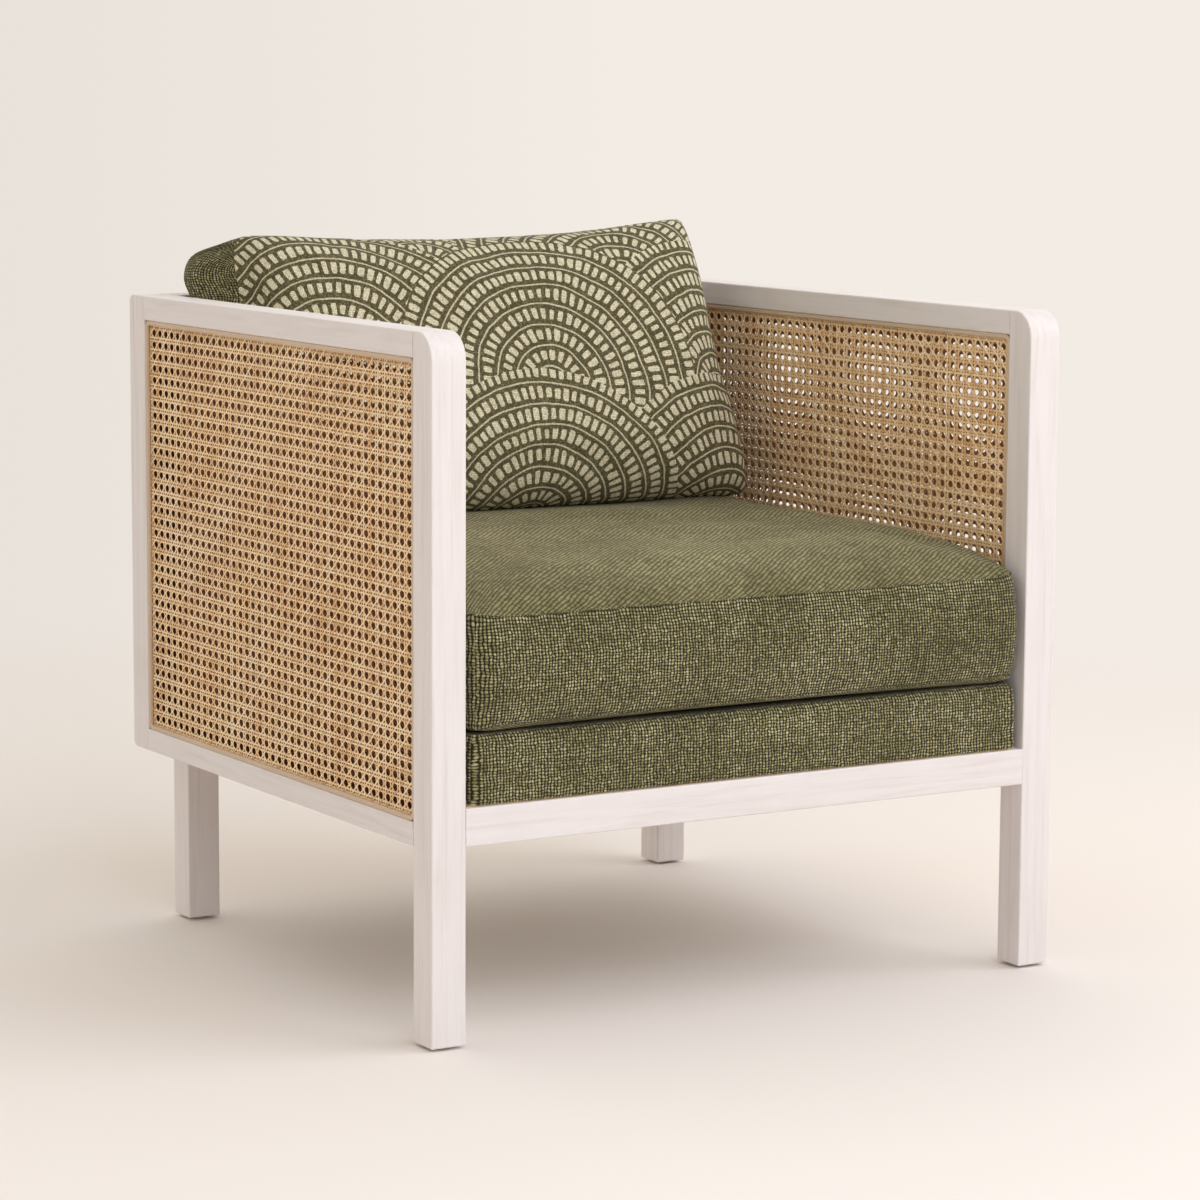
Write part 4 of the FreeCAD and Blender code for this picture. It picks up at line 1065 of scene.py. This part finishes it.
# Upholstered deck
DECK_LOW = Vector((-0.3330, -0.3430, 0.2383))
DECK_HIGH = Vector((0.3330, 0.3015, 0.3078))
DECK_ROUND = 8 * MM
DECK_CORNER = 6 * MM
DECK_STEP = 12 * MM
DECK_CROWN = 0.3 * MM
DECK_REACH = 0.05
DECK_LEVELS = levels_between(
    DECK_LOW.z, DECK_HIGH.z, (0, 8.0), (0.012, 8.3), (0.05, 8.4), (0.25, 8.4), (0.45, 8.4),
    (0.65, 8.2), (0.80, 7.8), (0.885, 7.0), (0.94, 5.4), (0.98, 2.9), (1, 0),
)


def add_deck():
    """The upholstered deck under the cushion, pulled tight over its edges."""
    points, faces, uvs, kinds, _ = box_form(
        (DECK_LOW.x + DECK_ROUND, DECK_LOW.y + DECK_ROUND),
        (DECK_HIGH.x - DECK_ROUND, DECK_HIGH.y - DECK_ROUND),
        DECK_CORNER, DECK_LEVELS, (DECK_CROWN, DECK_REACH), (0.0, DECK_REACH), DECK_STEP,
    )
    piece = add_piece("seat_deck", points, faces, [OLIVE_TOP, OLIVE], "frame",
                      uvs, kinds)
    add_subdivision(piece)
    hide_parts("deck_cover", "deck_foam")


# Back pillow
PILLOW_HALF_WIDTH = 0.289
PILLOW_FLARE = 9 * MM
PILLOW_FOOT = Vector((0, 0.1275, 0.4615))
PILLOW_HEAD = Vector((0, 0.2605, 0.7635))
PILLOW_BACK = 0.3045
PILLOW_FRONT_CROWN = 0.056
# How far from the seam the front still rises, across and up
PILLOW_CROWN_REACH = (0.13, 0.11)
PILLOW_PRESSURE = 2.0
PILLOW_PUFF = 8 * MM
PILLOW_HOLD = 0.9
PILLOW_SHRINK = -0.01
PILLOW_WAVES = ((0.13, 21, 2.0 * MM), (0.06, 22, 0.7 * MM))
PILLOW_CORNER = 21 * MM
PILLOW_STEP = 8 * MM
# How far the head sags in the middle, and its corners rise to the right and to the left
HEAD_SAG = 5 * MM
HEAD_RIGHT_RISE = 15 * MM
HEAD_LEFT_RISE = 4 * MM
PILLOW_LEFT_SWELL = 48 * MM
PILLOW_RIGHT_SWELL = 4 * MM
PILLOW_ROUND = 50 * MM
PILLOW_BACK_SLOPE = 30 * MM
PILLOW_NOTCH = 7 * MM
CREASE_DEPTH = 9 * MM
CREASE_TURN = 1.02
CREASE_WAY = (0.8, 0.5, -0.3)
RAIL_TOP = 0.7005
OVERHANG = 0.026


def pillow_back(seam, up, s, t, near_x, near_y):
    """The back cover's points: it runs outward and back from the seam, then turns in behind.
    s and t are shares across and up, and near_x and near_y lengths from the seam."""
    side_way = np.clip(near_x / PILLOW_ROUND, 0, 1)
    end_way = np.clip(near_y / PILLOW_ROUND, 0, 1)
    end_depth = 1 - (1 - end_way) ** 2.2
    depth = (1 - (1 - side_way) ** 2.2) * end_depth
    swell = np.where(s < 0, PILLOW_LEFT_SWELL, PILLOW_RIGHT_SWELL) * end_depth
    outward = near_x - PILLOW_ROUND * side_way**3.5
    outward = np.where(side_way < 1, outward + swell * np.sin(math.pi * side_way**0.8) ** 0.8, 0)
    spread = np.where(end_way < 1, near_y - PILLOW_ROUND * end_way**3, 0)
    slope = PILLOW_BACK_SLOPE * depth * np.clip(t, 0, 1) ** 3 * (0.4 + 0.6 * np.abs(s) ** 3)
    back = seam.copy()
    back[:, 0] += np.sign(s) * outward
    back += (spread * np.sign(t))[:, None] * up
    notch = np.clip(near_x / (9 * MM), 0, 1) * np.clip(1.3 - near_y / (90 * MM), 0, 1)
    back[:, 2] -= slope + PILLOW_NOTCH * notch * (s < 0) * (t > 0)
    over = np.clip((back[:, 2] - RAIL_TOP + 6 * MM) / (25 * MM), 0, 1)
    back[:, 1] = seam[:, 1] + (PILLOW_BACK + OVERHANG * over - seam[:, 1]) * depth
    return back


def crease(near_x, near_y):
    """How far a crease that runs out from a corner lifts the cloth, and sinks it beside it."""
    turn = np.arctan2(near_y, near_x) - CREASE_TURN
    far = np.hypot(near_x, near_y)
    ridge = np.exp(-((turn / 0.16) ** 2)) - 0.6 * np.exp(-(((turn + 0.34) / 0.2) ** 2))
    fade = np.clip(far / (8 * MM), 0, 1) * np.clip(1.6 - far / (60 * MM), 0, 1)
    return CREASE_DEPTH * ridge * fade


def add_back_pillow():
    """A soft pillow that leans on the back: a printed front and a plain, fuller back."""
    lean = PILLOW_HEAD - PILLOW_FOOT
    height = lean.length
    up = np.array(lean.normalized())
    out = np.array([0.0, -up[2], up[1]])
    low, high = (-PILLOW_HALF_WIDTH, 0.0), (PILLOW_HALF_WIDTH, height)
    across, climb = rounded_grid(low, high, PILLOW_CORNER, PILLOW_STEP, 3)
    rows, columns = across.shape
    across, climb = across.ravel(), climb.ravel()
    s, t = across / PILLOW_HALF_WIDTH, 2 * climb / height - 1
    # The seam's outline: a wider foot, a sagging head and corners pulled up
    share = climb / height
    width = across + s * PILLOW_FLARE * (1 - share)
    head = HEAD_RIGHT_RISE * np.maximum(s, 0) ** 2 + HEAD_LEFT_RISE * np.maximum(-s, 0) ** 4
    rise = climb + (head - HEAD_SAG * (1 - s**2)) * share**3
    seam = np.array(PILLOW_FOOT) + width[:, None] * [1, 0, 0] + rise[:, None] * up
    near_x = PILLOW_HALF_WIDTH - np.abs(across)
    near_y = np.minimum(climb, height - climb)
    reach_x, reach_y = PILLOW_CROWN_REACH
    puff = (rise_share(near_x, reach_x) * rise_share(near_y, reach_y)) ** 0.8
    front = seam + (puff * PILLOW_FRONT_CROWN)[:, None] * out
    back = pillow_back(seam, up, s, t, near_x, near_y)
    # Both covers share the points of the seam
    size = columns * rows
    around = border(columns, rows)
    inner = np.ones(size, bool)
    inner[around] = False
    back_index = np.arange(size)
    back_index[inner] = size + np.arange(inner.sum())
    front_faces = grid_faces(columns, rows)
    back_faces = back_index[front_faces][:, ::-1]
    front_map, back_map = (laid_flat(part, rows, columns) for part in (front, back))
    uvs = np.concatenate([front_map[front_faces], back_map[front_faces][:, ::-1]]).reshape(-1, 2)
    kinds = [0] * len(front_faces) + [1] * len(back_faces)
    points = np.concatenate([front, back[inner]])
    faces = np.concatenate([front_faces, back_faces])
    piece = add_piece("back_pillow", points, faces, [PRINTED, OLIVE], "back_pillow",
                      uvs, kinds)
    inflate(piece, PILLOW_PRESSURE, PILLOW_PUFF, around, PILLOW_HOLD, PILLOW_SHRINK)
    points = coordinates(piece)
    uneven = waves(points, PILLOW_WAVES)[:size] * np.clip(puff * 1.4, 0, 1)
    points[:size] += uneven[:, None] * out
    # A crease runs out over the back from the upper corner on the left
    fold = crease(near_x, near_y) * (s < 0) * (t > 0)
    points[size:] += fold[inner][:, None] * CREASE_WAY
    low_part = points[:, 2] < RAIL_TOP + 3 * MM
    points[low_part, 1] = np.minimum(points[low_part, 1], PILLOW_BACK)
    points[:, 2] = np.maximum(points[:, 2], PILLOW_FOOT.z)
    set_coordinates(piece, points)
    add_subdivision(piece)
    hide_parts("back_pillow_front_cover", "back_pillow_back_cover", "back_pillow_filling")


# Dust cover
COVER_POINTS = 41
COVER_SAG = 6 * MM
COVER_LIFT = 0.6 * MM
COVER_THICKNESS = 0.5 * MM


def add_dust_cover():
    """The lining under the deck, stapled to its frame and sagging a little."""
    low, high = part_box("dust_cover")
    u, v = np.meshgrid(np.linspace(0, 1, COVER_POINTS), np.linspace(0, 1, COVER_POINTS))
    flat = np.stack([low.x + u * (high.x - low.x), low.y + v * (high.y - low.y)], -1)
    flat = flat.reshape(-1, 2)
    sag = COVER_SAG * (np.sin(math.pi * u) * np.sin(math.pi * v)) ** 0.7
    points = np.column_stack([flat, low.z + COVER_LIFT - sag.ravel()])
    faces = grid_faces(COVER_POINTS, COVER_POINTS)
    uvs = flat[faces].reshape(-1, 2)
    piece = add_piece("dust_cover_cloth", points, faces, [LINING], "frame", uvs)
    piece.modifiers.new("thickness", "SOLIDIFY").thickness = COVER_THICKNESS
    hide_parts("dust_cover")


# Zips
TAPE_SHARE = 0.4
TAPE_GAP = 0.2 * MM
TOOTH_LENGTH = 1.25 * MM
TOOTH_HALF_HEIGHT = 0.9 * MM
TOOTH_OFFSET = 0.5 * MM
TOOTH_INSET = 0.1 * MM
# Teeth left out at each end
TEETH_SPARED = 3
# The slider's start and end along the zip, and half its height
SLIDER = (4 * MM, 12 * MM, 2 * MM)
BLOCK_SIDES = ((3, 2, 1, 0), (4, 5, 6, 7), (0, 1, 5, 4), (1, 2, 6, 5), (2, 3, 7, 6), (3, 0, 4, 7))


def zip_piece(name, node, body):
    """A closed zip in the place of its plain CAD strip: two tapes, their teeth and a slider."""
    low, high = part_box(node)
    middle = (low.z + high.z) / 2
    points, faces = [], []

    def block(x0, x1, y1, z0, z1):
        start = len(points)
        for z in (z0, z1):
            points.extend([(x0, low.y, z), (x1, low.y, z), (x1, y1, z), (x0, y1, z)])
        faces.extend(tuple(start + i for i in side) for side in BLOCK_SIDES)

    tape_back = low.y + (high.y - low.y) * TAPE_SHARE
    block(low.x, high.x, tape_back, low.z, middle - TAPE_GAP)
    block(low.x, high.x, tape_back, middle + TAPE_GAP, high.z)
    step = 2 * TOOTH_LENGTH
    for number in range(int((high.x - low.x) / step) - 2 * TEETH_SPARED):
        x = low.x + (number + TEETH_SPARED) * step
        z = middle + TOOTH_OFFSET * (1 if number % 2 else -1)
        block(x, x + TOOTH_LENGTH, high.y - TOOTH_INSET, z - TOOTH_HALF_HEIGHT,
              z + TOOTH_HALF_HEIGHT)
    begin, end, half = SLIDER
    block(low.x + begin, low.x + end, high.y, middle - half, middle + half)
    piece = add_piece(name, points, faces, [ZIP], body, smooth=False)
    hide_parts(node)


# Floor and world
def add_floor():
    """A pale floor that fades into the backdrop far from the chair."""
    shader = Shader("floor")
    place = shader.place()
    x, y, _ = shader.parts(place)
    far = shader.step(shader.math("SQRT", x * x + y * y), *FLOOR_FADE)
    cloud = shader.noise(place, 0.8, 2, 0.4)
    colour = shader.colours(cloud, linear(235, 228, 222), linear(238, 231, 226))
    shader.finish(colour, 0.9, Specular_IOR_Level=0.1)
    way = shader.add("VectorMath", {0: place, 1: CAMERA_PLACE}, operation="SUBTRACT")
    glow = shader.add("Emission", {"Color": shader.backdrop(way.outputs[0])})
    ends = {0: far * shader.seen(), 1: shader.base.outputs[0], 2: glow.outputs[0]}
    mixed = shader.add("MixShader", ends)
    shader.feed(shader.tree.nodes["Material Output"].inputs["Surface"], mixed.outputs[0])
    corners = ((-1, -1), (1, -1), (1, 1), (-1, 1))
    points = [(x * FLOOR_REACH, y * FLOOR_REACH, 0) for x, y in corners]
    floor = add_object("floor", new_mesh("floor", points, [(0, 1, 2, 3)], [shader.material]))


def add_world():
    """Plain soft light from all round, and the backdrop's colour where the camera sees past."""
    world = bpy.data.worlds.new("studio")
    bpy.context.scene.world = world
    world.use_nodes = True
    nodes = Nodes(world.node_tree)
    nodes.tree.nodes.clear()
    way = nodes.add("TexCoord").outputs["Generated"]
    strength = nodes.dot(way, AMBIENT_LEAN) + AMBIENT_STRENGTH
    room = nodes.add("Background", {"Color": AMBIENT, "Strength": strength})
    shown = nodes.add("Background", {"Color": nodes.backdrop(way), "Strength": 1.0})
    mixed = nodes.add("MixShader", {0: nodes.seen(), 1: room.outputs[0], 2: shown.outputs[0]})
    nodes.add("OutputWorld", {"Surface": mixed.outputs[0]})


add_camera()
add_world()
add_floor()
add_lamps()
dress_nodes()
add_cane()
add_deck()
add_seat_cushion()
add_back_pillow()
add_dust_cover()
zip_piece("seat_cushion_zip_chain", "seat_cushion_zip", "seat_cushion")
zip_piece("back_pillow_zip_chain", "back_pillow_zip", "back_pillow")

bpy.context.scene.view_settings.view_transform = "Standard"
